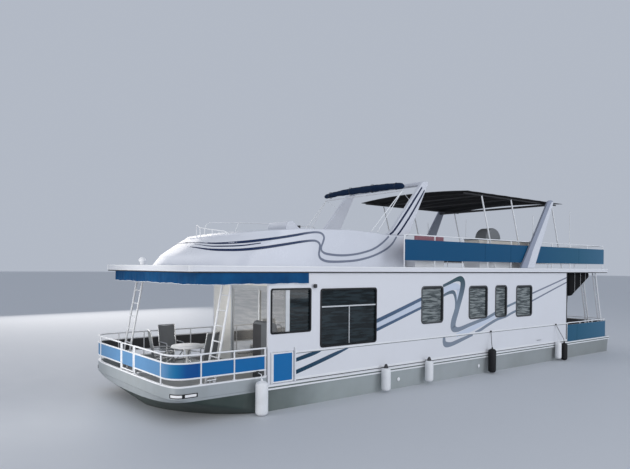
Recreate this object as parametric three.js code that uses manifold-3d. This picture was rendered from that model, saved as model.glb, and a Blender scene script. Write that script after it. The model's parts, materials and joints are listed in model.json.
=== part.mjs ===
// Houseboat with a roof deck, a raised bridge and blue panelled rails.
// Millimetres. +X is the bow, +Y is port, +Z is up. The origin is at the waterline, amidships.

import * as THREE from 'three';
import { mergeVertices } from 'three/addons/utils/BufferGeometryUtils.js';
import Module from 'manifold-3d';

const wasm = await Module();
wasm.setup();

// Driving dimensions
const GAP = 0.3;
const SIDES = [['port', 1], ['starboard', -1]];

const HULL = { sternX: -9580, bowX: 9550, halfBeam: 2440, deckZ: 550, keelZ: -450 };
const RUB = { lowZ: 500, highZ: 620, out: 40, startX: 7300 };
const BULWARK = { topZ: 832, thick: 60, endX: 7200 };
const BAY = { x0: -9100, x1: -7700, halfY: 1000, floorZ: -250, ledge: 45, lidThick: 40, play: 8 };

const CABIN = { aftX: -6250, frontX: 5900, wingX: 7170, outY: 2440, thick: 60, topZ: 3210 };
const GLASS = { thick: 8, play: 1 };
const DOORWAY = { y0: -1300, y1: 1450, lowZ: 600, highZ: 2750 };
const AFT_DOORWAY = { y0: -200, y1: 620, lowZ: 600, highZ: 2640 };

const ROOF = { aftX: -9380, bowX: 9170, halfY: 2500, thick: 140, corner: 110 };
const STAIRWELL = { x0: -8050, x1: -6650, y0: -2200, y1: -1420 };
const VALANCE = { lowZ: 2930, thick: 25, bowX: 8960, outY: 2480, portEndX: 6020, corner: 120 };

const COWL = { aftX: 1850, halfY: 1750, wall: 130, soleZ: 3420, cockpitFrontX: 5500, topZ: 4420 };
const ARCH = { baseX: 2430, baseLength: 770, topX: 1020, topLength: 270, baseZ: 4280, topZ: 5980, thick: 130 };
const AFT_ARCH = { footX: -3100, footLength: 820, topX: -4820, topLength: 330, topZ: 5790, inY: 2405, outY: 2495 };

const CANOPY = { x0: -5900, x1: -250, halfY: 2390, edgeZ: 5745, crown: 120, thick: 30 };
const POLE = { radius: 26, y: 2200, lean: 0.34, railZ: 5685 };
const POLE_TOPS_X = [-1220, -2870, -5500];

const UPPER = { frontX: 2580, aftX: -9200, y: 2360, panelLowZ: 3540, panelHighZ: 4120, railZ: 4265 };
const RAIL = { tube: 38, panel: 12 };
const BOW = { y: 2410, frontX: 9510, corner: 420, panelLowZ: 973, panelHighZ: 1300, railZ: 1470, gateHalf: 385 };
const STERN = { y: 2410, aftX: -9520, startX: -6320, corner: 250, panelLowZ: 640, panelHighZ: 1235, railZ: 1315 };

const SIDE_GATE = { x0: 6430, x1: 7050, sillZ: 625, highZ: 1350, play: 8 };
const ENGINE = { length: 1050, width: 520, height: 560, y: 520 };
const DRIVE = { y: 620, pivotX: -9700, shield: 40, lugZ: 200 };

const roofTopZ = CABIN.topZ + ROOF.thick;

// Colours
const WHITE = 0xe9ebee;
const BLUE = 0x1c5fa8;
const NAVY = 0x1b2b55;
const BLACK = 0x14161a;
const GREY = 0x9aa19f;
const TINT = 0x20282b;
const MAROON = 0x5a2a33;
const BEIGE = 0xb9b0a2;

// Solids
function solidFrom(geometry) {
  const bare = geometry.clone();
  bare.deleteAttribute('normal');
  bare.deleteAttribute('uv');
  const merged = mergeVertices(bare, 1e-3);
  const mesh = new wasm.Mesh({
    numProp: 3,
    vertProperties: new Float32Array(merged.attributes.position.array),
    triVerts: new Uint32Array(merged.index.array),
  });
  return new wasm.Manifold(mesh);
}

function geometryFrom(solid) {
  const mesh = solid.getMesh();
  const geometry = new THREE.BufferGeometry();
  geometry.setAttribute('position', new THREE.BufferAttribute(new Float32Array(mesh.vertProperties), 3));
  geometry.setIndex(new THREE.BufferAttribute(new Uint32Array(mesh.triVerts), 1));
  geometry.computeVertexNormals();
  return geometry;
}

function box(x0, x1, y0, y1, z0, z1) {
  const geometry = new THREE.BoxGeometry(x1 - x0, y1 - y0, z1 - z0);
  geometry.translate((x0 + x1) / 2, (y0 + y1) / 2, (z0 + z1) / 2);
  return solidFrom(geometry);
}

// A box given by two y values in either order, for pieces mirrored to starboard
function sideBox(x0, x1, side, yIn, yOut, z0, z1) {
  const low = Math.min(side * yIn, side * yOut);
  const high = Math.max(side * yIn, side * yOut);
  return box(x0, x1, low, high, z0, z1);
}

// Outline points are (x, y) for depth along z, (x, z) for depth along y, (y, z) for depth along x
function prism(points, axis, d0, d1) {
  const shape = new THREE.Shape(points.map(([u, v]) => new THREE.Vector2(u, v)));
  const geometry = new THREE.ExtrudeGeometry(shape, { depth: d1 - d0, bevelEnabled: false });
  const place = new THREE.Matrix4();
  if (axis === 'z') {
    place.makeTranslation(0, 0, d0);
  } else if (axis === 'y') {
    place.set(1, 0, 0, 0, 0, 0, -1, d1, 0, 1, 0, 0, 0, 0, 0, 1);
  } else {
    place.set(0, 0, 1, d0, 1, 0, 0, 0, 0, 1, 0, 0, 0, 0, 0, 1);
  }
  geometry.applyMatrix4(place);
  return solidFrom(geometry);
}

function tube(start, end, radius, facets = 8) {
  const a = new THREE.Vector3(...start);
  const b = new THREE.Vector3(...end);
  const along = b.clone().sub(a);
  const geometry = new THREE.CylinderGeometry(radius, radius, along.length(), facets);
  const turn = new THREE.Quaternion().setFromUnitVectors(new THREE.Vector3(0, 1, 0), along.normalize());
  geometry.applyQuaternion(turn);
  const middle = a.add(b).multiplyScalar(0.5);
  geometry.translate(middle.x, middle.y, middle.z);
  return solidFrom(geometry);
}

function lathe(profile, facets) {
  const geometry = new THREE.LatheGeometry(profile.map(([r, h]) => new THREE.Vector2(r, h)), facets);
  geometry.rotateX(Math.PI / 2);
  return solidFrom(geometry);
}

// Stacks closed rings of equal point count, counter-clockwise seen from above, lowest first
function loft(rings) {
  const count = rings[0].length;
  const positions = rings.flat(2);
  const index = [];
  for (let level = 0; level < rings.length - 1; level += 1) {
    for (let i = 0; i < count; i += 1) {
      const next = (i + 1) % count;
      const a = level * count + i;
      const b = level * count + next;
      index.push(a, b, b + count, a, b + count, a + count);
    }
  }
  const top = (rings.length - 1) * count;
  for (let i = 1; i < count - 1; i += 1) {
    index.push(0, i + 1, i);
    index.push(top, top + i, top + i + 1);
  }
  const geometry = new THREE.BufferGeometry();
  geometry.setAttribute('position', new THREE.BufferAttribute(new Float32Array(positions), 3));
  geometry.setIndex(index);
  return solidFrom(geometry);
}

function join(solids) {
  return solids.reduce((sum, solid) => sum.add(solid));
}

function arc(cx, cy, radius, from, to, steps) {
  const points = [];
  for (let i = 0; i <= steps; i += 1) {
    const angle = THREE.MathUtils.degToRad(from + ((to - from) * i) / steps);
    points.push([cx + radius * Math.cos(angle), cy + radius * Math.sin(angle)]);
  }
  return points;
}

// The outline of a strip of even width along an open plan path
function strip(path, width) {
  const left = [];
  const right = [];
  path.forEach(([x, y], i) => {
    const before = path[Math.max(i - 1, 0)];
    const after = path[Math.min(i + 1, path.length - 1)];
    const into = new THREE.Vector2(x - before[0], y - before[1]).normalize();
    const out = new THREE.Vector2(after[0] - x, after[1] - y).normalize();
    const along = into.clone().add(out).normalize();
    const square = i === 0 || i === path.length - 1;
    const stretch = square ? 1 : Math.sqrt((1 + into.dot(out)) / 2);
    const half = width / 2 / stretch;
    left.push([x - along.y * half, y + along.x * half]);
    right.unshift([x + along.y * half, y - along.x * half]);
  });
  return [...left, ...right];
}

function band(path, width, z0, z1) {
  return prism(strip(path, width), 'z', z0, z1);
}

// A planform with a blunt superellipse bow and a square stern, as one ring. Its height is z on the
// centreline, and more along the sides by the given rise.
function planRing({ z, rise = 0, sternX, shoulderX, bowX, halfY, power }, steps) {
  const port = [];
  for (let i = 0; i <= steps; i += 1) {
    const angle = (Math.PI / 2) * (i / steps);
    const x = shoulderX + (bowX - shoulderX) * Math.cos(angle) ** (2 / power);
    const out = Math.sin(angle) ** (2 / power);
    port.push([x, halfY * out, z + rise * out ** 2]);
  }
  port.push([sternX, halfY, z + rise]);
  const starboard = port.slice(1).map(([x, y, height]) => [x, -y, height]).reverse();
  return [...starboard, ...port];
}

// The part
const houseboat = new THREE.Group();
houseboat.name = 'houseboat';

function addPiece(name, solid, color, roughness = 0.45, metalness = 0) {
  const material = new THREE.MeshStandardMaterial({ color, roughness, metalness });
  const mesh = new THREE.Mesh(geometryFrom(solid), material);
  mesh.name = name;
  houseboat.add(mesh);
}

// Hull: a flared blunt bow over a finer waterline, with a knuckle that dips to the stem, straight
// sides and a shallow bottom
function buildHull() {
  const levels = [
    { z: HULL.keelZ, shoulderX: 4800, bowX: 7500, halfY: 900, power: 1.4 },
    { z: -250, shoulderX: 6500, bowX: 8450, halfY: 2300, power: 1.45 },
    { z: 0, shoulderX: 7100, bowX: 9080, halfY: 2400, power: 1.75 },
    { z: 370, rise: 130, shoulderX: 8900, bowX: 9500, halfY: HULL.halfBeam, power: 4.5 },
    { z: HULL.deckZ, shoulderX: 9000, bowX: HULL.bowX, halfY: HULL.halfBeam, power: 5.5 },
  ];
  const shell = loft(levels.map((level) => planRing({ ...level, sternX: HULL.sternX }, 10)));
  const bay = box(BAY.x0, BAY.x1, -BAY.halfY, BAY.halfY, BAY.floorZ, HULL.deckZ + 10);
  const rebate = box(
    BAY.x0 - BAY.ledge, BAY.x1 + BAY.ledge, -BAY.halfY - BAY.ledge, BAY.halfY + BAY.ledge,
    HULL.deckZ - BAY.lidThick - 2, HULL.deckZ + 10,
  );
  const mounts = SIDES.flatMap(([, side]) => {
    const low = side * DRIVE.y - 60;
    const face = HULL.sternX - DRIVE.shield;
    return [
      box(face, HULL.sternX + 20, low - 90, low + 210, -260, 260),
      box(DRIVE.pivotX - 60, HULL.sternX + 20, low, low + 120, DRIVE.lugZ, DRIVE.lugZ + 40),
    ];
  });
  addPiece('hull', join([shell, ...mounts]).subtract(bay).subtract(rebate), GREY, 0.4, 0.6);
}

function buildEngines() {
  const x0 = (BAY.x0 + BAY.x1 - ENGINE.length) / 2;
  const bedTop = BAY.floorZ + 60;
  const blocks = SIDES.map(([, side]) => sideBox(
    x0, x0 + ENGINE.length, side, ENGINE.y - ENGINE.width / 2, ENGINE.y + ENGINE.width / 2,
    bedTop - 10, bedTop + ENGINE.height,
  ));
  const bed = box(x0, x0 + ENGINE.length, -ENGINE.y, ENGINE.y, BAY.floorZ + GAP, bedTop);
  addPiece('engines', join([bed, ...blocks]), BLACK, 0.6, 0.3);
}

function buildEngineHatch() {
  const edge = BAY.ledge - BAY.play;
  const lid = box(
    BAY.x0 - edge, BAY.x1 + edge, -BAY.halfY - edge, BAY.halfY + edge,
    HULL.deckZ - BAY.lidThick, HULL.deckZ + 2,
  );
  addPiece('engine_hatch', lid, GREY, 0.6, 0.2);
}

// White double rub rail from the bulwark's end round the stern to the other side
function buildRubRail() {
  const y = HULL.halfBeam + GAP + RUB.out / 2;
  const path = [
    [RUB.startX, -y], [HULL.sternX - RUB.out / 2 - GAP, -y],
    [HULL.sternX - RUB.out / 2 - GAP, y], [RUB.startX, y],
  ];
  const middle = (RUB.lowZ + RUB.highZ) / 2;
  const web = band(path, RUB.out * 0.4, RUB.lowZ, RUB.highZ);
  const lower = band(path, RUB.out, RUB.lowZ, middle - 18);
  const upper = band(path, RUB.out, middle + 18, RUB.highZ);
  addPiece('rub_rail', join([web, lower, upper]), WHITE, 0.4);
}

// A planform edge, followed inside by the given inset, from port round the bow to starboard
function bowEdge(inset, endX) {
  const ring = planRing(
    { z: 0, sternX: endX, shoulderX: 9000, bowX: HULL.bowX - inset, halfY: HULL.halfBeam - inset, power: 5.5 },
    10,
  );
  return ring.map(([x, y]) => [x, y]);
}

function buildBulwark() {
  const outer = prism(bowEdge(0, BULWARK.endX), 'z', HULL.deckZ + GAP, BULWARK.topZ);
  const inner = prism(bowEdge(BULWARK.thick, BULWARK.endX - 100), 'z', HULL.deckZ, BULWARK.topZ + 10);
  addPiece('bow_bulwark', outer.subtract(inner), GREY, 0.4, 0.6);
}

// Cabin walls, with a row per window: aft edge, front edge, sill and head
const WINDOWS_PORT = [
  [-3830, -2900, 1730, 2740],
  [-2310, -1700, 1770, 2760],
  [-1230, -310, 1780, 2760],
  [970, 1890, 1750, 2780],
  [3730, 5610, 1380, 2775],
];
const WING_WINDOW = [5950, 7080, 1800, 2800];

function cutWindows(wall, side, windows) {
  return windows.reduce(
    (left, [x0, x1, z0, z1]) => left.subtract(sideBox(x0, x1, side, CABIN.outY - 100, CABIN.outY + 50, z0, z1)),
    wall,
  );
}

function buildCabinWalls() {
  const inner = CABIN.outY - CABIN.thick;
  const fronts = { port: CABIN.wingX, starboard: CABIN.frontX };
  for (const [name, side] of SIDES) {
    const front = fronts[name];
    const lowZ = HULL.deckZ + GAP;
    const slab = sideBox(CABIN.aftX, front, side, inner, CABIN.outY, lowZ, CABIN.topZ - GAP);
    const windows = side > 0 ? [...WINDOWS_PORT, WING_WINDOW] : WINDOWS_PORT;
    let wall = cutWindows(slab, side, windows);
    if (side > 0) {
      const gate = [SIDE_GATE.x0, SIDE_GATE.x1, HULL.deckZ - 10, SIDE_GATE.highZ];
      wall = cutWindows(wall, side, [gate]);
      wall = wall.add(sideBox(SIDE_GATE.x0 - 10, SIDE_GATE.x1 + 10, side, inner, CABIN.outY, lowZ, SIDE_GATE.sillZ));
    }
    addPiece(`cabin_wall_${name}`, wall, WHITE, 0.35);
  }
}

// Tinted panes set in the middle of the wall: the large front window each side, and the aft half
// of the wing window beside the helm
function buildPanes() {
  const mid = CABIN.outY - CABIN.thick / 2;
  const half = GLASS.thick / 2;
  const [bigX0, bigX1, bigZ0, bigZ1] = WINDOWS_PORT[4];
  for (const [name, side] of SIDES) {
    const pane = sideBox(
      bigX0 + GLASS.play, bigX1 - GLASS.play, side, mid - half, mid + half,
      bigZ0 + GLASS.play, bigZ1 - GLASS.play,
    );
    addPiece(`saloon_pane_${name}`, pane, TINT, 0.1);
  }
  const [x0, x1, z0, z1] = WING_WINDOW;
  const wing = sideBox(
    x0 + GLASS.play, (x0 + x1) / 2 + 40, 1, mid - half, mid + half, z0 + GLASS.play, z1 - GLASS.play,
  );
  addPiece('wing_pane', wing, TINT, 0.1);
}

function bulkhead(name, x0, doorway) {
  const halfY = CABIN.outY - CABIN.thick - GAP;
  const slab = box(x0, x0 + CABIN.thick, -halfY, halfY, HULL.deckZ + GAP, CABIN.topZ - GAP);
  const hole = box(x0 - 50, x0 + CABIN.thick + 50, doorway.y0, doorway.y1, doorway.lowZ, doorway.highZ);
  addPiece(name, slab.subtract(hole), WHITE, 0.4);
}

// A door leaf: a framed pane seen from the front, with its glass as a thin web inside the frame
function leaf(x0, x1, y0, y1, z0, z1, stile) {
  const xm = (x0 + x1) / 2;
  const frame = box(x0, x1, y0, y1, z0, z1)
    .subtract(box(x0 - 10, x1 + 10, y0 + stile, y1 - stile, z0 + stile, z1 - stile));
  const web = box(xm - 4, xm + 4, y0 + stile - 5, y1 - stile + 5, z0 + stile - 5, z1 - stile + 5);
  return frame.add(web);
}

function buildBulkheads() {
  const frontX = CABIN.frontX - CABIN.thick;
  bulkhead('front_bulkhead', frontX, DOORWAY);
  bulkhead('aft_bulkhead', CABIN.aftX, AFT_DOORWAY);
  const middle = (DOORWAY.y0 + DOORWAY.y1) / 2;
  const low = DOORWAY.lowZ + 2;
  const high = DOORWAY.highZ - 2;
  const fixed = leaf(frontX + 31, frontX + 56, DOORWAY.y0 + 2, middle + 30, low, high, 60);
  addPiece('front_door_fixed', fixed, GREY, 0.3, 0.5);
  const slider = leaf(frontX + 2, frontX + 25, middle - 30, DOORWAY.y1 - 6, low + 6, high - 6, 60);
  addPiece('front_door_slider', slider, GREY, 0.3, 0.5);
  const aft = leaf(
    CABIN.aftX + 10, CABIN.aftX + 50, AFT_DOORWAY.y0 + 8, AFT_DOORWAY.y1 - 8,
    AFT_DOORWAY.lowZ + 8, AFT_DOORWAY.highZ - 8, 90,
  );
  addPiece('aft_door', aft, WHITE, 0.4);
}

// Roof deck over the cabin and both porches, with a stairwell at the stern
function roofOutline(bowX, halfY, corner, aftX) {
  return [
    [aftX, -halfY],
    ...arc(bowX - corner, -halfY + corner, corner, -90, 0, 5),
    ...arc(bowX - corner, halfY - corner, corner, 0, 90, 5),
    [aftX, halfY],
  ];
}

function buildRoof() {
  const slab = prism(roofOutline(ROOF.bowX, ROOF.halfY, ROOF.corner, ROOF.aftX), 'z', CABIN.topZ, roofTopZ);
  const well = box(
    STAIRWELL.x0, STAIRWELL.x1, STAIRWELL.y0, STAIRWELL.y1, CABIN.topZ - 10, roofTopZ + 10,
  );
  addPiece('roof', slab.subtract(well), WHITE, 0.4);
}

// Blue cloth valance hung under the front overhang
function buildValance() {
  const y = VALANCE.outY - VALANCE.thick / 2;
  const x = VALANCE.bowX;
  const corner = VALANCE.corner;
  const path = [
    [VALANCE.portEndX, -y],
    ...arc(x - corner, -y + corner, corner, -90, 0, 5),
    ...arc(x - corner, y - corner, corner, 0, 90, 5),
    [VALANCE.portEndX, y],
  ];
  addPiece('valance', band(path, VALANCE.thick, VALANCE.lowZ, CABIN.topZ - GAP), BLUE, 0.8);
}

// Bridge cowl: a raked, rounded nose, low sides and an open cockpit, cut to its sheer line
function buildCowl() {
  const levels = [
    { z: roofTopZ + GAP, shoulderX: 7000, bowX: 8730, halfY: COWL.halfY, power: 2.1 },
    { z: 3600, shoulderX: 6850, bowX: 8520, halfY: COWL.halfY, power: 2.1 },
    { z: 3900, shoulderX: 6500, bowX: 8050, halfY: COWL.halfY - 10, power: 2.2 },
    { z: COWL.topZ, shoulderX: 5700, bowX: 7100, halfY: COWL.halfY - 40, power: 2.4 },
  ];
  const body = loft(levels.map((level) => planRing({ ...level, sternX: COWL.aftX }, 9)));
  const sheer = [
    [COWL.aftX - 50, 3000], [9000, 3000], [9000, 3800], [8400, 3880], [8100, 4000], [7600, 4110],
    [6800, 4205], [5750, 4300], [4000, 4350], [2700, ARCH.baseZ], [COWL.aftX - 50, ARCH.baseZ],
  ];
  const cockpit = box(
    COWL.aftX - 50, COWL.cockpitFrontX, -COWL.halfY + COWL.wall, COWL.halfY - COWL.wall,
    COWL.soleZ, COWL.topZ + 50,
  );
  const trimmed = body.intersect(prism(sheer, 'y', -2000, 2000)).subtract(cockpit);
  addPiece('cowl', trimmed, WHITE, 0.3);
}

// Upper steering console and a bench, on one raised plinth
function buildBridgeSeats() {
  const z = COWL.soleZ + GAP;
  const plinth = box(2300, 5230, -700, 700, z, z + 40);
  const console_ = prism(
    [
      [4750, z + 30], [5230, z + 30], [5230, 4480], [5130, 4600], [4900, 4625], [4660, 4520],
      [4620, 4380], [4750, 4200],
    ],
    'y', -520, 420,
  );
  const seat = box(3600, 4100, -650, 650, z + 30, z + 480);
  const back = box(3480, 3620, -650, 650, z + 30, z + 860);
  addPiece('bridge_seats', join([plinth, console_, seat, back]), WHITE, 0.5);
}

// Tubes end to end through the points of an open route
function route(points, radius) {
  return points.slice(1).map((point, i) => tube(points[i], point, radius));
}

// Grab rails on the cowl, cut to its top: a long hoop over the starboard side, and a short one that
// rises from the port side to the nose
function buildBridgeRails(cowlGeometry) {
  const radius = 15;
  const hoop = [
    [2500, -1702, 4150], [2500, -1702, 4665], [4500, -1702, 4680], [5480, -1690, 4650],
    [6400, -1610, 4595], [6640, -1560, 4535], [6690, -1550, 4440], [6700, -1545, 4100],
  ];
  const hoopPosts = [[[4000, -1702, 4677], [4100, -1700, 4200]], [[5480, -1690, 4650], [5640, -1690, 4200]]];
  const nose = [
    [7700, -60, 3950], [7740, 0, 4380], [7800, 300, 4290], [7680, 700, 4235],
    [7500, 1000, 4190], [7380, 1120, 4050],
  ];
  const nosePosts = [[[7800, 300, 4290], [7780, 290, 3950]], [[7680, 700, 4235], [7640, 690, 3950]]];
  const rails = [['starboard', hoop, hoopPosts], ['port', nose, nosePosts]];
  for (const [name, bar, posts] of rails) {
    const uprights = posts.map(([top, foot]) => tube(top, foot, radius));
    const raised = solidFrom(cowlGeometry.clone().translate(0, 0, GAP));
    addPiece(`bridge_rail_${name}`, join([...route(bar, radius), ...uprights]).subtract(raised), WHITE, 0.4);
  }
}

function leanLeg(footX, footLength, topX, topLength, footZ, topZ) {
  return [[footX - footLength, footZ], [footX, footZ], [topX, topZ], [topX - topLength, topZ]];
}

// Forward arch: two raked legs on the cowl's sides and a crossbar
function buildForwardArch() {
  const top = COWL.halfY - 50;
  const outline = leanLeg(
    ARCH.baseX, ARCH.baseLength, ARCH.topX, ARCH.topLength, ARCH.baseZ + GAP, ARCH.topZ,
  );
  const legs = SIDES.map(([, side]) => {
    const y = side > 0 ? [top - ARCH.thick, top] : [-top, -top + ARCH.thick];
    return prism(outline, 'y', y[0], y[1]);
  });
  const bar = box(ARCH.topX - ARCH.topLength + 20, ARCH.topX - 20, -top + 10, top - 10, ARCH.topZ - 120, ARCH.topZ);
  addPiece('forward_arch', join([...legs, bar]), WHITE, 0.4);
}

function buildAftArch() {
  const outline = leanLeg(
    AFT_ARCH.footX, AFT_ARCH.footLength, AFT_ARCH.topX, AFT_ARCH.topLength, roofTopZ + GAP, AFT_ARCH.topZ,
  );
  const legs = SIDES.map(([, side]) => {
    const y = side > 0 ? [AFT_ARCH.inY, AFT_ARCH.outY] : [-AFT_ARCH.outY, -AFT_ARCH.inY];
    return prism(outline, 'y', y[0], y[1]);
  });
  const bar = box(-4980, -4780, -AFT_ARCH.inY - 20, AFT_ARCH.inY + 20, 5590, 5650);
  addPiece('aft_arch', join([...legs, bar]), WHITE, 0.4);
}

// Folded bimini: a rolled boot held over the arch by two pairs of tubes
const BOOT = { x: 2000, halfY: 1800, endZ: 5730, crown: 90, radius: 100, sag: 0.85 };
const BIMINI_FOOT = { x: 2900, spacing: 260, y: 1638, z: 4345 };

function buildBimini() {
  const curve = new THREE.QuadraticBezierCurve3(
    new THREE.Vector3(BOOT.x, -BOOT.halfY, BOOT.endZ),
    new THREE.Vector3(BOOT.x, 0, BOOT.endZ + 2 * BOOT.crown),
    new THREE.Vector3(BOOT.x, BOOT.halfY, BOOT.endZ),
  );
  const section = new THREE.Shape(
    arc(0, 0, BOOT.radius, 0, 330, 11).map(([u, v]) => new THREE.Vector2(u, v)),
  );
  const roll = new THREE.ExtrudeGeometry(section, { steps: 8, bevelEnabled: false, extrudePath: curve });
  const points = roll.attributes.position;
  for (let i = 0; i < points.count; i += 1) {
    const share = 1 - (points.getY(i) / BOOT.halfY) ** 2;
    const below = Math.min(points.getZ(i) - BOOT.endZ - BOOT.crown * share, 0);
    points.setZ(i, points.getZ(i) + below * BOOT.sag * Math.max(share, 0));
  }
  addPiece('bimini_boot', solidFrom(roll), NAVY, 0.8);
  const beamZ = BOOT.endZ - BOOT.radius - 40;
  const beam = box(BOOT.x - 22, BOOT.x + 22, -BOOT.halfY + 40, BOOT.halfY - 40, beamZ - 20, beamZ + 20);
  const legs = SIDES.flatMap(([, side]) => [0, BIMINI_FOOT.spacing].map((shift) => tube(
    [BIMINI_FOOT.x + shift, side * BIMINI_FOOT.y, BIMINI_FOOT.z],
    [BOOT.x, side * (BOOT.halfY - 60), beamZ], 15, 8,
  )));
  addPiece('bimini_frame', join([beam, ...legs]), GREY, 0.3, 0.8);
}

// Large flat canopy on three pairs of poles
function buildCanopy() {
  const crown = [];
  for (let i = 0; i <= 8; i += 1) {
    const t = i / 4 - 1;
    crown.push([t * CANOPY.halfY, CANOPY.edgeZ + CANOPY.crown * (1 - t * t)]);
  }
  const under = crown.map(([y, z]) => [y, z - CANOPY.thick]).reverse();
  addPiece('canopy', prism([...crown, ...under], 'x', CANOPY.x0, CANOPY.x1), BLACK, 0.9);

  const parts = [];
  for (const topX of POLE_TOPS_X) {
    const footX = topX - POLE.lean * (POLE.railZ - roofTopZ);
    for (const [, side] of SIDES) {
      parts.push(tube([footX, side * POLE.y, roofTopZ + 8], [topX, side * POLE.y, POLE.railZ], POLE.radius));
    }
    parts.push(box(topX - 26, topX + 26, -POLE.y, POLE.y, POLE.railZ - 22, POLE.railZ + 22));
  }
  for (const [, side] of SIDES) {
    parts.push(sideBox(-5780, -300, side, POLE.y - 24, POLE.y + 24, POLE.railZ - 24, POLE.railZ + 24));
  }
  addPiece('canopy_frame', join(parts), GREY, 0.3, 0.8);
}

// A rail of posts, a handrail and a panel between two lower bars, along one plan path
function railing(path, posts, low, { panelLowZ, panelHighZ, railZ }) {
  const half = RAIL.tube / 2;
  const bars = [panelLowZ, panelHighZ, railZ].map((z) => band(path, RAIL.tube, z - half, z + half));
  const panel = band(path, RAIL.panel, panelLowZ, panelHighZ);
  const uprights = posts.map(([x, y]) => box(x - half, x + half, y - half, y + half, low, railZ));
  return join([...bars, panel, ...uprights]);
}

// Upholstered bench on the roof deck, its back along the port rail
function buildRoofBench() {
  const z = roofTopZ + GAP;
  const seat = box(450, 1800, 1500, 2090, z, z + 450);
  const back = box(450, 1800, 1990, 2090, z + 440, z + 960);
  addPiece('roof_bench', join([seat, back]), MAROON, 0.6);
}

// Serving bar with a domed cooker under the canopy
function buildRoofBar() {
  const top = roofTopZ + 950;
  const cabinet = box(-4500, -1350, 1420, 2050, roofTopZ + GAP, top);
  const lid = arc(0, 0, 1, 0, 180, 10).map(([u, v]) => [-2260 + u * 430, top - 10 + v * 400]);
  addPiece('roof_bar', cabinet.add(prism(lid, 'y', 1500, 1960)), BEIGE, 0.5);
}

// Black awning rolled up and slung under the roof's overhang at the stern
function buildStowedAwning() {
  const top = CABIN.topZ - GAP;
  const outline = [[-8750, top], [-8760, 3000], [-8500, 2860], [-7380, 2260], [-7140, 2250], [-7100, top]];
  addPiece('stowed_awning', prism(outline, 'y', 1870, 2060), BLACK, 0.9);
}

function spaced(from, to, count) {
  return Array.from({ length: count }, (_, i) => from + ((to - from) * i) / (count - 1));
}

function buildBowRails() {
  const { y, frontX, corner, gateHalf } = BOW;
  const ends = { port: CABIN.wingX + 40, starboard: CABIN.frontX + 40 };
  for (const [name, side] of SIDES) {
    const end = ends[name];
    const bend = arc(frontX - corner, y - corner, corner, 90, 0, 5);
    const path = [[end, y], ...bend, [frontX, gateHalf + 20]].map(([px, py]) => [px, side * py]);
    const sidePosts = spaced(end + 19, frontX - corner - 240, name === 'port' ? 3 : 5).map((x) => [x, side * y]);
    const frontPosts = [y - corner - 120, gateHalf + 39].map((py) => [frontX, side * py]);
    const corners = [[frontX - corner * 0.29, side * (y - corner * 0.29)]];
    const low = BULWARK.topZ + GAP;
    let rail = railing(path, [...frontPosts, ...corners], low, BOW);
    const half = RAIL.tube / 2;
    for (const [x, py] of sidePosts) {
      const foot = x - half > BULWARK.endX ? low : HULL.deckZ + GAP;
      rail = rail.add(box(x - half, x + half, py - half, py + half, foot, BOW.railZ));
    }
    addPiece(`bow_rail_${name}`, rail, WHITE, 0.4);
  }
}

function gateSolid(x0, x1, y0, y1, z0, z1, panelLow, panelHigh) {
  const half = RAIL.tube / 2;
  const along = x1 - x0 > y1 - y0;
  const outer = box(x0, x1, y0, y1, z0, z1);
  const hole = along
    ? box(x0 + RAIL.tube, x1 - RAIL.tube, y0 - 5, y1 + 5, z0 + RAIL.tube, z1 - RAIL.tube)
    : box(x0 - 5, x1 + 5, y0 + RAIL.tube, y1 - RAIL.tube, z0 + RAIL.tube, z1 - RAIL.tube);
  const mx = (x0 + x1) / 2;
  const my = (y0 + y1) / 2;
  const thin = RAIL.panel / 2;
  const panel = along
    ? box(x0 + half, x1 - half, my - thin, my + thin, panelLow, panelHigh)
    : box(mx - thin, mx + thin, y0 + half, y1 - half, panelLow, panelHigh);
  return outer.subtract(hole).add(panel);
}

function buildGates() {
  const half = RAIL.tube / 2;
  const w = BOW.gateHalf - 10;
  const front = gateSolid(
    BOW.frontX - half, BOW.frontX + half, -w, w, BULWARK.topZ + 20, BOW.railZ + half,
    BULWARK.topZ + 30, BOW.panelHighZ,
  );
  addPiece('front_gate', front, WHITE, 0.4);
  const { x0, x1, sillZ, highZ, play } = SIDE_GATE;
  const side = gateSolid(
    x0 + play, x1 - play, CABIN.outY - 42, CABIN.outY - 4, sillZ + play, highZ - play,
    sillZ + 20, highZ - 20,
  );
  addPiece('side_gate', side, BLUE, 0.4);
}

function buildUpperRail() {
  const { frontX, aftX, y } = UPPER;
  const path = [[frontX, -y], [aftX, -y], [aftX, y], [frontX, y]];
  const sideXs = spaced(frontX - 19, aftX, 10);
  const posts = SIDES.flatMap(([, side]) => sideXs.map((x) => [x, side * y]));
  const aftPosts = spaced(-y, y, 5).slice(1, -1).map((py) => [aftX, py]);
  addPiece('upper_rail', railing(path, [...posts, ...aftPosts], roofTopZ + GAP, UPPER), WHITE, 0.4);
}

function buildSternRail() {
  const { y, aftX, startX, corner } = STERN;
  const path = [
    [startX, y],
    ...arc(aftX + corner, y - corner, corner, 90, 180, 4),
    ...arc(aftX + corner, -y + corner, corner, 180, 270, 4),
    [startX, -y],
  ];
  const sideXs = spaced(startX - 19, aftX + corner + 30, 4);
  const posts = SIDES.flatMap(([, side]) => sideXs.map((x) => [x, side * y]));
  const aftPosts = spaced(-1500, 1500, 4).map((py) => [aftX, py]);
  addPiece('stern_rail', railing(path, [...posts, ...aftPosts], HULL.deckZ + GAP, STERN), WHITE, 0.4);
}

// Leaning ladder frames that hold up the roof overhangs: foot x, head x, centre y and width
const LADDERS = [
  ['bow_ladder_port', 8330, 7840, 1800, 400],
  ['bow_ladder_starboard', 8940, 8450, -1800, 400],
  ['stern_ladder_port', -9380, -8660, 2270, 110],
  ['stern_ladder_inner', -9380, -8660, 1750, 110],
  ['stern_ladder_starboard', -9380, -8660, -2270, 110],
];

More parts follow.
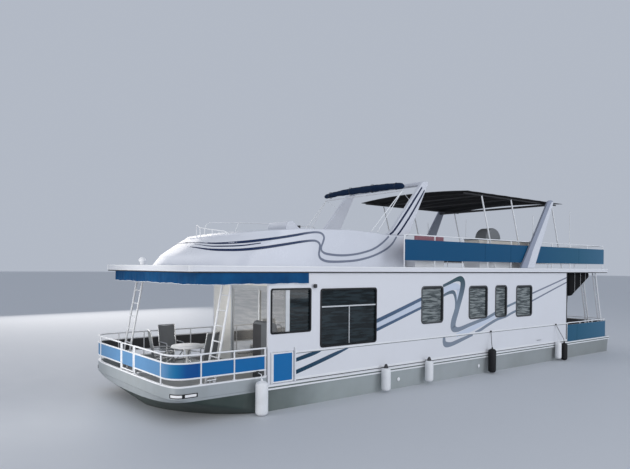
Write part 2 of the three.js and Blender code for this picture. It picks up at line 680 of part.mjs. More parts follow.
function buildLadders() {
  for (const [name, footX, headX, y, width] of LADDERS) {
    const z0 = HULL.deckZ + 8;
    const z1 = CABIN.topZ - 8;
    const rails = [y - width / 2, y + width / 2].map((ry) => tube([footX, ry, z0], [headX, ry, z1], 26));
    const rungs = spaced(0.14, 0.93, 7).map((t) => {
      const x = footX + (headX - footX) * t;
      const z = z0 + (z1 - z0) * t;
      return tube([x, y - width / 2, z], [x, y + width / 2, z], 16, 6);
    });
    addPiece(name, join([...rails, ...rungs]), WHITE, 0.4, 0.3);
  }
}

// Stair from the aft deck up through the roof
function buildStair() {
  const count = 10;
  const y0 = STAIRWELL.y0 + 30;
  const y1 = STAIRWELL.y1 - 30;
  const footX = -8700;
  const headX = STAIRWELL.x1 - 60;
  const z0 = HULL.deckZ + GAP;
  const slope = (roofTopZ - z0) / (headX - footX);
  const deep = 220;
  const stringer = [[footX - deep, z0], [footX, z0], [headX, roofTopZ - 20], [headX - deep, roofTopZ - 20]];
  const stringers = [[y0, y0 + 40], [y1 - 40, y1]].map(([a, b]) => prism(stringer, 'y', a, b));
  const treads = spaced(1, count, count).map((i) => {
    const z = z0 + ((roofTopZ - z0) * i) / (count + 1);
    const x = footX - deep + (z - z0) / slope;
    return box(x - 10, x + deep + 10, y0 + 10, y1 - 10, z - 30, z);
  });
  addPiece('stern_stair', join([...stringers, ...treads]), WHITE, 0.5, 0.2);
}

// Helm in the front porch: console, instrument hood and a steering wheel
const HELM = { x0: 6640, x1: 7060, y0: 1620, y1: 2200, topZ: 1720, hoodZ: 2040 };
const WHEEL = { x: 6500, y: 1830, z: 1700, radius: 225, rim: 16, tiltDeg: 15 };

function buildHelm() {
  const { x0, x1, y0, y1, topZ, hoodZ } = HELM;
  const profile = [
    [x0 + 60, HULL.deckZ + GAP], [x1, HULL.deckZ + GAP], [x1, hoodZ - 60], [x1 - 90, hoodZ],
    [x0 + 130, hoodZ - 60], [x0 + 70, topZ], [x0, topZ - 160], [x0 + 60, topZ - 260],
  ];
  addPiece('helm_console', prism(profile, 'y', y0, y1), GREY, 0.5);
}

function buildWheel() {
  const { radius, rim } = WHEEL;
  const ring = lathe(arc(radius, 0, rim, 0, 360, 8), 24);
  const hub = lathe([[0, -18], [45, -18], [45, 18], [0, 18]], 12);
  const spokes = [90, 210, 330].map((deg) => {
    const angle = THREE.MathUtils.degToRad(deg);
    return tube([0, 0, 0], [radius * Math.cos(angle), radius * Math.sin(angle), 0], 9, 6);
  });
  const stem = tube([0, 0, 0], [0, 0, 200], 14, 8);
  const geometry = geometryFrom(join([ring, hub, stem, ...spokes]));
  geometry.rotateY(THREE.MathUtils.degToRad(90 - WHEEL.tiltDeg));
  geometry.translate(WHEEL.x, WHEEL.y, WHEEL.z);
  addPiece('helm_wheel', solidFrom(geometry), BLACK, 0.5);
}

// Front deck furniture: each chair's centre and the way that it faces
const TABLE = { x: 7890, y: -150, topZ: 1310, radius: 420, rim: 60 };
const CHAIRS = [[7610, -1720, 90], [8300, -760, 165], [7660, 200, -66]];

function buildTable() {
  const low = HULL.deckZ + GAP;
  const profile = [
    [0, low], [200, low], [200, low + 25], [70, low + 70], [55, TABLE.topZ - TABLE.rim],
    [TABLE.radius - 20, TABLE.topZ - TABLE.rim], [TABLE.radius, TABLE.topZ - TABLE.rim + 20],
    [TABLE.radius, TABLE.topZ - 10], [TABLE.radius - 10, TABLE.topZ], [0, TABLE.topZ],
  ];
  const geometry = geometryFrom(lathe(profile, 28));
  geometry.translate(TABLE.x, TABLE.y, 0);
  addPiece('table', solidFrom(geometry), WHITE, 0.5);
}

// A sling chair that faces +X at angle zero
function chairSolid() {
  const low = HULL.deckZ + GAP;
  const seat = prism([[-230, 960], [260, 1000], [260, 1020], [-230, 985]], 'y', -235, 235);
  const back = prism([[-235, 960], [-200, 960], [-335, 1685], [-370, 1685]], 'y', -225, 225);
  const frames = SIDES.flatMap(([, side]) => {
    const y = side * 250;
    return [
      tube([240, y, low + 2], [250, y, 1190], 14, 6),
      tube([-330, y, low + 14], [240, y, 1000], 14, 6),
      tube([250, y, 1180], [-270, y, 1200], 16, 6),
      tube([-215, y, 950], [-350, y, 1675], 14, 6),
      sideBox(-230, 250, side, 225, 252, 965, 990),
    ];
  });
  const top = tube([-346, -250, 1660], [-346, 250, 1660], 14, 6);
  return join([seat, back, top, ...frames]);
}

function buildChairs() {
  CHAIRS.forEach(([x, y, deg], i) => {
    const geometry = geometryFrom(chairSolid());
    geometry.rotateZ(THREE.MathUtils.degToRad(deg));
    geometry.translate(x, y, 0);
    addPiece(`chair_${i + 1}`, solidFrom(geometry), GREY, 0.7);
  });
}

// Fenders on the port side: x, radius, length, centre height
const FENDERS = [
  [7460, 145, 780, 390], [3500, 127, 620, 360], [1745, 120, 610, 395],
  [-1300, 122, 760, 400], [-5375, 110, 620, 390], [-5780, 115, 630, 315],
];

function buildFenders() {
  FENDERS.forEach(([x, radius, length, z], i) => {
    const half = length / 2;
    const cap = radius * 0.62;
    const lineTop = x > BULWARK.endX ? BULWARK.topZ - 30 : RUB.highZ + 260;
    const profile = [
      [0, -half], [radius * 0.55, -half + cap * 0.25], [radius, -half + cap],
      [radius, half - cap], [radius * 0.55, half - cap * 0.25], [14, half], [14, half + 60], [0, half + 60],
    ];
    const geometry = geometryFrom(lathe(profile, 14));
    const y = HULL.halfBeam + GAP + RUB.out + radius + 6;
    geometry.translate(x, y, z);
    const body = solidFrom(geometry);
    const line = tube([x, y, z + half + 40], [x, HULL.halfBeam + RUB.out + 14, Math.max(lineTop, z + half + 160)], 7, 6);
    const color = i === 3 || i === 5 ? BLACK : WHITE;
    addPiece(`fender_${i + 1}`, join([body, line]), color, 0.5);
  });
}

// Twin stern drives, each with a transom shield, a steered leg and a propeller
function driveLeg(y) {
  const x = DRIVE.pivotX;
  const upper = prism(
    [[x - 330, -60], [x + 20, -60], [x + 20, 190], [x - 60, 190], [x - 300, 150]], 'y', y - 110, y + 110,
  );
  const leg = prism(
    [[x - 260, -460], [x - 90, -520], [x + 10, -420], [x + 10, -50], [x - 300, -50]], 'y', y - 45, y + 45,
  );
  const plate = box(x - 430, x, y - 130, y + 130, -250, -232);
  const torpedo = tube([x - 370, y, -440], [x + 40, y, -440], 62, 12);
  const fin = prism([[x - 200, -620], [x - 60, -480], [x - 280, -480]], 'y', y - 12, y + 12);
  return join([upper, leg, plate, torpedo, fin]);
}

function propeller(y) {
  const x = DRIVE.pivotX - 376;
  const hub = tube([x, y, -440], [x - 120, y, -440], 52, 12);
  const blades = [0, 120, 240].map((deg) => {
    const shape = new THREE.Shape(
      [[-46, 30], [46, 30], [74, 120], [44, 178], [-30, 182], [-70, 130]].map(([u, v]) => new THREE.Vector2(u, v)),
    );
    const geometry = new THREE.ExtrudeGeometry(shape, { depth: 10, bevelEnabled: false });
    geometry.translate(0, 0, -5);
    geometry.rotateY(THREE.MathUtils.degToRad(58));
    geometry.rotateX(THREE.MathUtils.degToRad(deg));
    geometry.translate(x - 60, y, -440);
    return solidFrom(geometry);
  });
  return join([hub, ...blades]);
}

function buildDrives() {
  for (const [name, side] of SIDES) {
    const y = side * DRIVE.y;
    addPiece(`drive_${name}`, driveLeg(y), BLACK, 0.4, 0.4);
    addPiece(`propeller_${name}`, propeller(y), GREY, 0.3, 0.9);
  }
}

buildHull();
buildEngines();
buildEngineHatch();
buildRubRail();
buildBulwark();
buildCabinWalls();
buildPanes();
buildBulkheads();
buildRoof();
buildValance();
buildCowl();
buildBridgeSeats();
buildBridgeRails(houseboat.getObjectByName('cowl').geometry);
buildForwardArch();
buildAftArch();
buildBimini();
buildCanopy();
buildRoofBench();
buildRoofBar();
buildStowedAwning();
buildBowRails();
buildGates();
buildUpperRail();
buildSternRail();
buildLadders();
buildStair();
buildHelm();
buildWheel();
buildTable();
buildChairs();
buildFenders();
buildDrives();

export default houseboat;
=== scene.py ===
"""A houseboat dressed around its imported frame: fine surfaces, cloth, glazing, graphics and fittings."""

import json
import logging
import math
from collections.abc import Callable, Sequence
from dataclasses import dataclass
from enum import Enum

import bpy
from mathutils import Matrix, Vector

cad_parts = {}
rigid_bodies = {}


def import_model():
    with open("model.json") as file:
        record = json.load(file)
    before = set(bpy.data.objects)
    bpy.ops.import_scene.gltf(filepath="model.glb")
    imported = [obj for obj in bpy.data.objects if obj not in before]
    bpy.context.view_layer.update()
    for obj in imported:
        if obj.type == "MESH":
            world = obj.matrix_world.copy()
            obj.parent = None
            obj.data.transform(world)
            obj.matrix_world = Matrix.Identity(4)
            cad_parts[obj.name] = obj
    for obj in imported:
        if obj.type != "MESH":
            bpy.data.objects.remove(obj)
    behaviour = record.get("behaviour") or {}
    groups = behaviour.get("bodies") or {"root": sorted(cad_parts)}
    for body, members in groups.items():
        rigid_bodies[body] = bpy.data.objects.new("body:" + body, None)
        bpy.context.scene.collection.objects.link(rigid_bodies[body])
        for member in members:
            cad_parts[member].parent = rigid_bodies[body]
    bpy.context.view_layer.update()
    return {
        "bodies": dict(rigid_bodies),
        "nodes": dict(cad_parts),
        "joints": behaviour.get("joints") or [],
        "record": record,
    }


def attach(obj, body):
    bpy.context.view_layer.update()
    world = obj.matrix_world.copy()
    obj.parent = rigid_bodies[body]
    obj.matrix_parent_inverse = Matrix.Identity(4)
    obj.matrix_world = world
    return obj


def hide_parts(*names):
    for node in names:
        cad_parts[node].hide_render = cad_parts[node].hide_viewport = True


LOG = logging.getLogger("houseboat")
BOAT = "boat"
SIDES = (("port", 1), ("starboard", -1))
GAP = 0.0003
WALL_FACE = 2.4405
CLOTH_VOXEL = 0.014
CLOTH_PRESSURE = 4
CLOTH_FRAMES = 20

Point = Sequence[float]
Color = tuple[float, float, float]
Piece = bpy.types.Object


class Axis(Enum):
    """The direction that an outline is extruded along, and so the plane that it is drawn in."""

    X = "x"
    Y = "y"
    Z = "z"

    def place(self, u: float, v: float, depth: float) -> Vector:
        """The point of an outline at (u, v), at a depth along the axis."""
        points = {"x": (depth, u, v), "y": (u, depth, v), "z": (u, v, depth)}
        return Vector(points[self.value])


# Selection and operators


def leave_edit_mode() -> None:
    """Goes back to object mode if a piece is still being edited."""
    if bpy.context.mode != "OBJECT":
        bpy.ops.object.mode_set(mode="OBJECT")


def deselect() -> None:
    """Leaves nothing selected, so that an operator acts on the new piece alone."""
    leave_edit_mode()
    for other in bpy.context.selected_objects:
        other.select_set(False)


def pick(*pieces: Piece) -> None:
    """Selects these pieces alone and makes the first one active."""
    deselect()
    for piece in pieces:
        piece.select_set(True)
    bpy.context.view_layer.objects.active = pieces[0]


def settle(name: str) -> Piece:
    """Names the active piece and carries its place into its mesh.

    Args:
        name: The piece's name.

    Returns:
        The piece, with its object at the origin.
    """
    piece = bpy.context.active_object
    bpy.ops.object.transform_apply(location=True, rotation=True, scale=True)
    piece.name = name
    piece.data.name = name
    return piece


def edit_all(piece: Piece) -> None:
    """Opens a piece in edit mode with all of it selected."""
    pick(piece)
    bpy.ops.object.mode_set(mode="EDIT")
    bpy.ops.mesh.select_all(action="SELECT")


def edit_where(piece: Piece, wanted: Callable[[Vector], bool]) -> None:
    """Opens a piece in edit mode with the vertices selected that pass a test of their place."""
    pick(piece)
    bpy.ops.object.mode_set(mode="EDIT")
    bpy.ops.mesh.select_mode(type="VERT")
    bpy.ops.mesh.select_all(action="DESELECT")
    bpy.ops.object.mode_set(mode="OBJECT")
    for vertex in piece.data.vertices:
        vertex.select = wanted(vertex.co)
    bpy.ops.object.mode_set(mode="EDIT")


def modify(piece: Piece, kind: str, **settings: object) -> None:
    """Adds a modifier, sets it and applies it.

    Args:
        piece: The piece to change.
        kind: The modifier's type.
        settings: Values for the modifier's own settings.
    """
    pick(piece)
    modifier = piece.modifiers.new(kind.lower(), kind)
    for key, value in settings.items():
        setattr(modifier, key, value)
    bpy.ops.object.modifier_apply(modifier=modifier.name)


def soften(piece: Piece, width: float = 0.0, segments: int = 2, angle: float = 38.0) -> Piece:
    """Rounds sharp edges and shades what lies between them smooth.

    Args:
        piece: The piece to finish.
        width: The width of the rounding, or zero to shade only.
        segments: The number of faces across each rounded edge.
        angle: The least angle, in degrees, that counts as sharp.

    Returns:
        The same piece.
    """
    if width > 0:
        limit = math.radians(angle)
        modify(piece, "BEVEL", width=width, segments=segments, limit_method="ANGLE", angle_limit=limit)
    pick(piece)
    bpy.ops.object.shade_smooth_by_angle(angle=math.radians(angle))
    if width > 0:
        modify(piece, "WEIGHTED_NORMAL", keep_sharp=True, weight=80)
    return piece


# Shapes


def block(name: str, low: Point, high: Point, edge: float = 0.006, segments: int = 2) -> Piece:
    """A rounded block between two corners.

    Args:
        name: The piece's name.
        low: Its lowest corner.
        high: Its highest corner.
        edge: The width of its rounded edges.
        segments: The number of faces across each rounded edge.

    Returns:
        The new piece.
    """
    deselect()
    centre = [(a + b) / 2 for a, b in zip(low, high)]
    size = [b - a for a, b in zip(low, high)]
    bpy.ops.mesh.primitive_cube_add(size=1, location=centre, scale=size)
    return soften(settle(name), edge, segments)


def slab(
    name: str, outline: Sequence[Point], axis: Axis, start: float, end: float, edge: float = 0.0
) -> Piece:
    """A closed outline extruded along an axis.

    Args:
        name: The piece's name.
        outline: The outline's points in the plane across the axis.
        axis: The axis to extrude along.
        start: Where it starts on the axis.
        end: Where it ends on the axis.
        edge: The width of its rounded edges.

    Returns:
        The new piece.
    """
    deselect()
    bpy.ops.mesh.primitive_circle_add(vertices=len(outline), fill_type="NGON")
    piece = settle(name)
    for vertex, (u, v) in zip(piece.data.vertices, outline):
        vertex.co = axis.place(u, v, start)
    edit_all(piece)
    depth = axis.place(0, 0, end - start)
    bpy.ops.mesh.extrude_region_move(TRANSFORM_OT_translate={"value": depth})
    bpy.ops.mesh.select_all(action="SELECT")
    bpy.ops.mesh.normals_make_consistent(inside=False)
    leave_edit_mode()
    return soften(piece, edge)


def skin(
    name: str, rings: Sequence[Sequence[Point]], around: bool = False, stacked: bool = False,
    closed: bool = True,
) -> Piece:
    """Covers a stack of rings of equal count with faces.

    Args:
        name: The piece's name.
        rings: The rings of points, one after the other.
        around: Whether each ring's end joins its start.
        stacked: Whether the last ring joins the first.
        closed: Whether the result is closed, so that its faces can be turned outwards.

    Returns:
        The new piece, with its doubles merged.
    """
    rows = [list(ring) + list(ring[:1]) if around else list(ring) for ring in rings]
    if stacked:
        rows.append(rows[0])
    columns = len(rows[0]) - 1
    deselect()
    bpy.ops.mesh.primitive_grid_add(x_subdivisions=columns, y_subdivisions=len(rows) - 1, size=2)
    piece = settle(name)
    for vertex in piece.data.vertices:
        i = round((vertex.co.x + 1) / 2 * columns)
        j = round((vertex.co.y + 1) / 2 * (len(rows) - 1))
        vertex.co = rows[j][i]
    edit_all(piece)
    bpy.ops.mesh.remove_doubles(threshold=1e-5)
    bpy.ops.mesh.select_all(action="SELECT")
    if closed:
        bpy.ops.mesh.normals_make_consistent(inside=False)
    leave_edit_mode()
    return soften(piece)


def capped(rings: Sequence[Sequence[Point]]) -> list[list[Point]]:
    """Rings with a ring shrunk to its middle added at each end, which closes the stack."""
    ends = []
    for ring in (rings[0], rings[-1]):
        middle = sum((Vector(p) for p in ring), Vector()) / len(ring)
        ends.append([middle] * len(ring))
    return [ends[0], *rings, ends[1]]


def cut(piece: Piece, low: Point, high: Point) -> Piece:
    """A piece with a box cut out of it."""
    hole = block("cutter", low, high, 0)
    modify(piece, "BOOLEAN", object=hole, operation="DIFFERENCE", solver="EXACT")
    bpy.data.objects.remove(hole)
    return piece


def swelled(piece: Piece, cap: float = 0.02) -> Piece:
    """Blows a soft piece up by a short cloth simulation, with each point held near its start.

    Args:
        piece: The closed form, a little smaller than the finished pad.
        cap: The farthest that a point may move, in metres.

    Returns:
        The same piece.
    """
    modify(piece, "REMESH", mode="VOXEL", voxel_size=CLOTH_VOXEL)
    start = [vertex.co.copy() for vertex in piece.data.vertices]
    cloth = piece.modifiers.new("cloth", "CLOTH")
    cloth.settings.use_pressure = True
    cloth.settings.uniform_pressure_force = CLOTH_PRESSURE
    cloth.settings.effector_weights.gravity = 0
    for frame in range(1, CLOTH_FRAMES + 1):
        bpy.context.scene.frame_set(frame)
    pick(piece)
    bpy.ops.object.modifier_apply(modifier=cloth.name)
    bpy.context.scene.frame_set(1)
    for vertex, place in zip(piece.data.vertices, start):
        way = vertex.co - place
        vertex.co = place + way * min(1.0, cap / max(way.length, 1e-9))
    modify(piece, "SUBSURF", levels=1, render_levels=1)
    return soften(piece, angle=80)


def tube(name: str, points: Sequence[Point], radius: float, smooth: bool = False, sides: int = 10) -> Piece:
    """A round tube along points.

    Args:
        name: The piece's name.
        points: The points of its centre line.
        radius: Its radius.
        smooth: Whether it runs through the points in one smooth curve.
        sides: About how many faces lie round it.

    Returns:
        The new piece.
    """
    deselect()
    bpy.ops.curve.primitive_bezier_curve_add()
    piece = bpy.context.active_object
    curve = piece.data
    curve.dimensions = "3D"
    spline = curve.splines[0]
    spline.bezier_points.add(len(points) - 2)
    for knot, point in zip(spline.bezier_points, points):
        knot.handle_left_type = knot.handle_right_type = "AUTO" if smooth else "VECTOR"
        knot.co = point
    spline.resolution_u = 8 if smooth else 1
    curve.bevel_depth = radius
    curve.bevel_resolution = max(1, sides // 4)
    curve.use_fill_caps = True
    bpy.ops.object.convert(target="MESH")
    return soften(settle(name), angle=50)


def turned(name: str, profile: Sequence[Point], centre: Point, steps: int = 24) -> Piece:
    """A profile of (radius, height) points spun round an upright axis.

    Args:
        name: The piece's name.
        profile: The profile, which starts and ends on the axis or is an open wall.
        centre: The place of the axis and of height zero.
        steps: The number of faces round the axis.

    Returns:
        The new piece.
    """
    deselect()
    bpy.ops.mesh.primitive_circle_add(vertices=len(profile), fill_type="NOTHING")
    piece = settle(name)
    last = len(profile) - 1
    for vertex, (radius, height) in zip(piece.data.vertices, profile):
        vertex.co = (radius, 0, height)
    pick(piece)
    bpy.ops.object.mode_set(mode="EDIT")
    bpy.ops.mesh.select_mode(type="EDGE")
    bpy.ops.mesh.select_all(action="DESELECT")
    bpy.ops.object.mode_set(mode="OBJECT")
    for edge in piece.data.edges:
        edge.select = set(edge.vertices) == {0, last}
    bpy.ops.object.mode_set(mode="EDIT")
    bpy.ops.mesh.delete(type="EDGE")
    bpy.ops.mesh.select_mode(type="VERT")
    bpy.ops.mesh.select_all(action="SELECT")
    bpy.ops.mesh.spin(steps=steps, angle=math.tau, center=(0, 0, 0), axis=(0, 0, 1))
    bpy.ops.mesh.select_all(action="SELECT")
    bpy.ops.mesh.remove_doubles(threshold=1e-5)
    bpy.ops.mesh.normals_make_consistent(inside=False)
    leave_edit_mode()
    piece.data.transform(Matrix.Translation(Vector(centre)))
    return soften(piece)


def repeated(name: str, piece: Piece, step: Point, count: int) -> Piece:
    """A piece repeated in a row, as one mesh.

    Args:
        name: The row's name.
        piece: The first of the row.
        step: The way from one to the next.
        count: How many there are.

    Returns:
        The row.
    """
    modify(
        piece, "ARRAY", count=count, use_relative_offset=False, use_constant_offset=True,
        constant_offset_displace=step,
    )
    piece.name = name
    return piece


def joined(name: str, pieces: Sequence[Piece]) -> Piece:
    """Several pieces made one."""
    pick(*pieces)
    bpy.ops.object.join()
    piece = bpy.context.active_object
    piece.name = name
    return piece


def moved_copy(piece: Piece, name: str, move: Matrix) -> Piece:
    """A copy of a piece with a mesh of its own, carried to another place.

    Args:
        piece: The piece to copy.
        name: The copy's name.
        move: The way from the piece to its copy.

    Returns:
        The copy.
    """
    pick(piece)
    bpy.ops.object.duplicate(linked=False)
    twin = bpy.context.active_object
    twin.name = name
    twin.data.transform(move)
    if move.determinant() < 0:
        twin.data.flip_normals()
    return twin


# Plan paths and outlines


def arc(cx: float, cy: float, radius: float, start: float, end: float, steps: int) -> list[Point]:
    """Points on an arc, with its angles in degrees."""
    angles = [math.radians(start + (end - start) * i / steps) for i in range(steps + 1)]
    return [(cx + radius * math.cos(a), cy + radius * math.sin(a)) for a in angles]


def spaced(start: float, end: float, count: int) -> list[float]:
    """Numbers at even steps from start to end."""
    return [start + (end - start) * i / (count - 1) for i in range(count)]


def lift(path: Sequence[Point], z: float) -> list[Point]:
    """A plan path raised to a height."""
    return [(x, y, z) for x, y in path]


def strip(path: Sequence[Point], width: float) -> list[Point]:
    """The outline of a strip of even width along an open plan path."""
    left, right = [], []
    for i, point in enumerate(path):
        before = Vector(path[max(i - 1, 0)])
        after = Vector(path[min(i + 1, len(path) - 1)])
        here = Vector(point)
        into = (here - before).normalized() if i else (after - here).normalized()
        out = (after - here).normalized() if i < len(path) - 1 else into
        along = (into + out).normalized()
        half = width / 2 / max(0.5, math.sqrt((1 + into.dot(out)) / 2))
        left.append((here.x - along.y * half, here.y + along.x * half))
        right.append((here.x + along.y * half, here.y - along.x * half))
    return left + right[::-1]


def band(name: str, path: Sequence[Point], width: float, z0: float, z1: float, edge: float = 0.0) -> Piece:
    """An upright strip of even width along an open plan path.

    Args:
        name: The piece's name.
        path: The plan path.
        width: The strip's width in plan.
        z0: Its lower edge.
        z1: Its upper edge.
        edge: The width of its rounded edges.

    Returns:
        The new piece.
    """
    return slab(name, strip(path, width), Axis.Z, z0, z1, edge)


def lengths(path: Sequence[Point]) -> list[float]:
    """The distance from a path's start to each of its points."""
    found = [0.0]
    for a, b in zip(path, path[1:]):
        found.append(found[-1] + (Vector(b) - Vector(a)).length)
    return found


def at(path: Sequence[Point], distance: float) -> Vector:
    """The point of a path at a distance from its start."""
    marks = lengths(path)
    for i in range(len(path) - 1):
        if distance <= marks[i + 1] or i == len(path) - 2:
            share = (distance - marks[i]) / max(marks[i + 1] - marks[i], 1e-9)
            return Vector(path[i]).lerp(Vector(path[i + 1]), min(max(share, 0.0), 1.0))
    return Vector(path[-1])


def stretch(path: Sequence[Point], start: float, end: float) -> list[Point]:
    """The part of a path between two distances from its start."""
    marks = lengths(path)
    inner = [tuple(p) for p, mark in zip(path, marks) if start + 1e-4 < mark < end - 1e-4]
    return [tuple(at(path, start)), *inner, tuple(at(path, end))]


def nearest(path: Sequence[Point], point: Point) -> float:
    """The distance along a path of its point nearest to another."""
    marks = lengths(path)
    best = (1e9, 0.0)
    for i in range(len(path) - 1):
        a, b = Vector(path[i]), Vector(path[i + 1])
        share = (Vector(point) - a).dot(b - a) / max((b - a).length_squared, 1e-12)
        share = min(max(share, 0.0), 1.0)
        gap = (a.lerp(b, share) - Vector(point)).length
        best = min(best, (gap, marks[i] + share * (b - a).length))
    return best[1]


def smooth_line(points: Sequence[Point], steps: int) -> list[Vector]:
    """A Catmull-Rom curve through points of any dimension, with some steps between each pair."""
    knots = [Vector(p) for p in points]
    knots = [2 * knots[0] - knots[1], *knots, 2 * knots[-1] - knots[-2]]
    found = []
    for a, b, c, d in zip(knots, knots[1:], knots[2:], knots[3:]):
        for i in range(steps):
            t = i / steps
            square, cube = (2 * a - 5 * b + 4 * c - d) * t * t, (3 * b - a - 3 * c + d) * t**3
            found.append(0.5 * (2 * b + (c - a) * t + square + cube))
    return [*found, knots[-2]]


def rounded(x0: float, x1: float, z0: float, z1: float, corner: float, steps: int = 5) -> list[Point]:
    """A rectangle's outline with rounded corners."""
    return [
        *arc(x1 - corner, z0 + corner, corner, -90, 0, steps),
        *arc(x1 - corner, z1 - corner, corner, 0, 90, steps),
        *arc(x0 + corner, z1 - corner, corner, 90, 180, steps),
        *arc(x0 + corner, z0 + corner, corner, 180, 270, steps),
    ]


def surround(
    name: str, outer: Sequence[Point], inner: Sequence[Point], axis: Axis, start: float, end: float,
) -> Piece:
    """A frame between two outlines of equal count, extruded along an axis.

    Args:
        name: The piece's name.
        outer: The frame's outer outline.
        inner: The frame's inner outline.
        axis: The axis that it has its depth along.
        start: Where it starts on the axis.
        end: Where it ends on the axis.

    Returns:
        The new piece.
    """
    soft = (end - start) * 0.3
    middle = [((a[0] * 0.85 + b[0] * 0.15), (a[1] * 0.85 + b[1] * 0.15)) for a, b in zip(outer, inner)]
    rings = [
        [axis.place(u, v, start) for u, v in outer],
        [axis.place(u, v, end - soft) for u, v in outer],
        [axis.place(u, v, end) for u, v in middle],
        [axis.place(u, v, end) for u, v in inner],
        [axis.place(u, v, start) for u, v in inner],
    ]
    return skin(name, rings, around=True, stacked=True)


def eased(outline: Sequence[Point], radius: float, corners: Sequence[int] = ()) -> list[Point]:
    """A closed outline with some of its corners, or all of them, rounded off."""
    found = []
    for i, point in enumerate(outline):
        if corners and i not in corners:
            found.append(tuple(point))
            continue
        here = Vector(point)
        back, on = Vector(outline[i - 1]) - here, Vector(outline[(i + 1) % len(outline)]) - here
        start = here + back.normalized() * min(radius, back.length * 0.45)
        end = here + on.normalized() * min(radius, on.length * 0.45)
        for t in (0.0, 0.25, 0.5, 0.75, 1.0):
            found.append(tuple(start.lerp(here, t).lerp(here.lerp(end, t), t)))
    return found


# Node trees


class Graph:
    """Lays out a node tree with short calls."""

    def __init__(self, tree: bpy.types.NodeTree) -> None:
        """Keeps the tree that nodes are added to."""
        self.tree = tree

    def add(self, kind: str, feeds: dict | None = None, **settings: object) -> bpy.types.Node:
        """Adds a shader node.

        Args:
            kind: The node's type, without its prefix.
            feeds: A value or an output socket for each named or numbered input.
            settings: Values for the node's own settings.

        Returns:
            The new node.
        """
        node = self.tree.nodes.new("ShaderNode" + kind)
        for key, value in settings.items():
            setattr(node, key, value)
        for key, value in (feeds or {}).items():
            self.feed(node, key, value)
        return node

    def feed(self, node: bpy.types.Node, key: str | int, value: object) -> None:
        """Links an output socket to an input, or sets the input's value."""
        if isinstance(value, bpy.types.NodeSocket):
            self.tree.links.new(value, node.inputs[key])
        else:
            node.inputs[key].default_value = value

    def math(self, operation: str, a: object, b: object = 0.0) -> bpy.types.NodeSocket:
        """The result of a math node on two values or sockets."""
        return self.add("Math", {0: a, 1: b}, operation=operation).outputs[0]

    def map(
        self, value: object, low: float, high: float, to_low: object, to_high: object
    ) -> bpy.types.NodeSocket:
        """A value carried from one range to another and held within it."""
        feeds = {"Value": value, "From Min": low, "From Max": high, "To Min": to_low, "To Max": to_high}
        return self.add("MapRange", feeds).outputs["Result"]

    def mix(self, share: object, a: object, b: object) -> bpy.types.NodeSocket:
        """Two colours mixed by a share."""
        node = self.add("Mix", data_type="RGBA")
        self.feed(node, 0, share)
        self.feed(node, 6, a)
        self.feed(node, 7, b)
        return node.outputs[2]

    def place(self) -> bpy.types.NodeSocket:
        """The piece's own coordinates, in metres."""
        return self.add("TexCoord").outputs["Object"]

    def noise(self, place: object, scale: object, detail: float = 3.0) -> bpy.types.NodeSocket:
        """A noise value at a place."""
        return self.add("TexNoise", {"Vector": place, "Scale": scale, "Detail": detail}).outputs["Fac"]

    def group(self, tree: bpy.types.NodeTree, feeds: dict) -> bpy.types.Node:
        """Places a node group with its own values."""
        node = self.tree.nodes.new("ShaderNodeGroup")
        node.node_tree = tree
        for key, value in feeds.items():
            self.feed(node, key, value)
        return node


class Effect:
    """A shared surface effect: a node group with named sockets, built once."""

    KINDS = {"color": "NodeSocketColor", "value": "NodeSocketFloat", "vector": "NodeSocketVector"}

    def __init__(self, name: str, takes: dict[str, str], gives: dict[str, str]) -> None:
        """Makes the group's tree and its sockets.

        Args:
            name: The group's name.
            takes: The kind of each named input.
            gives: The kind of each named output.
        """
        self.tree = bpy.data.node_groups.new(name, "ShaderNodeTree")
        for key, kind in takes.items():
            self.tree.interface.new_socket(key, in_out="INPUT", socket_type=self.KINDS[kind])
        for key, kind in gives.items():
            self.tree.interface.new_socket(key, in_out="OUTPUT", socket_type=self.KINDS[kind])
        self.graph = Graph(self.tree)
        self.inside = self.tree.nodes.new("NodeGroupInput").outputs
        self.outside = self.tree.nodes.new("NodeGroupOutput")

    def give(self, key: str, value: bpy.types.NodeSocket) -> None:
        """Sends a socket's value out of the group."""
        self.graph.feed(self.outside, key, value)


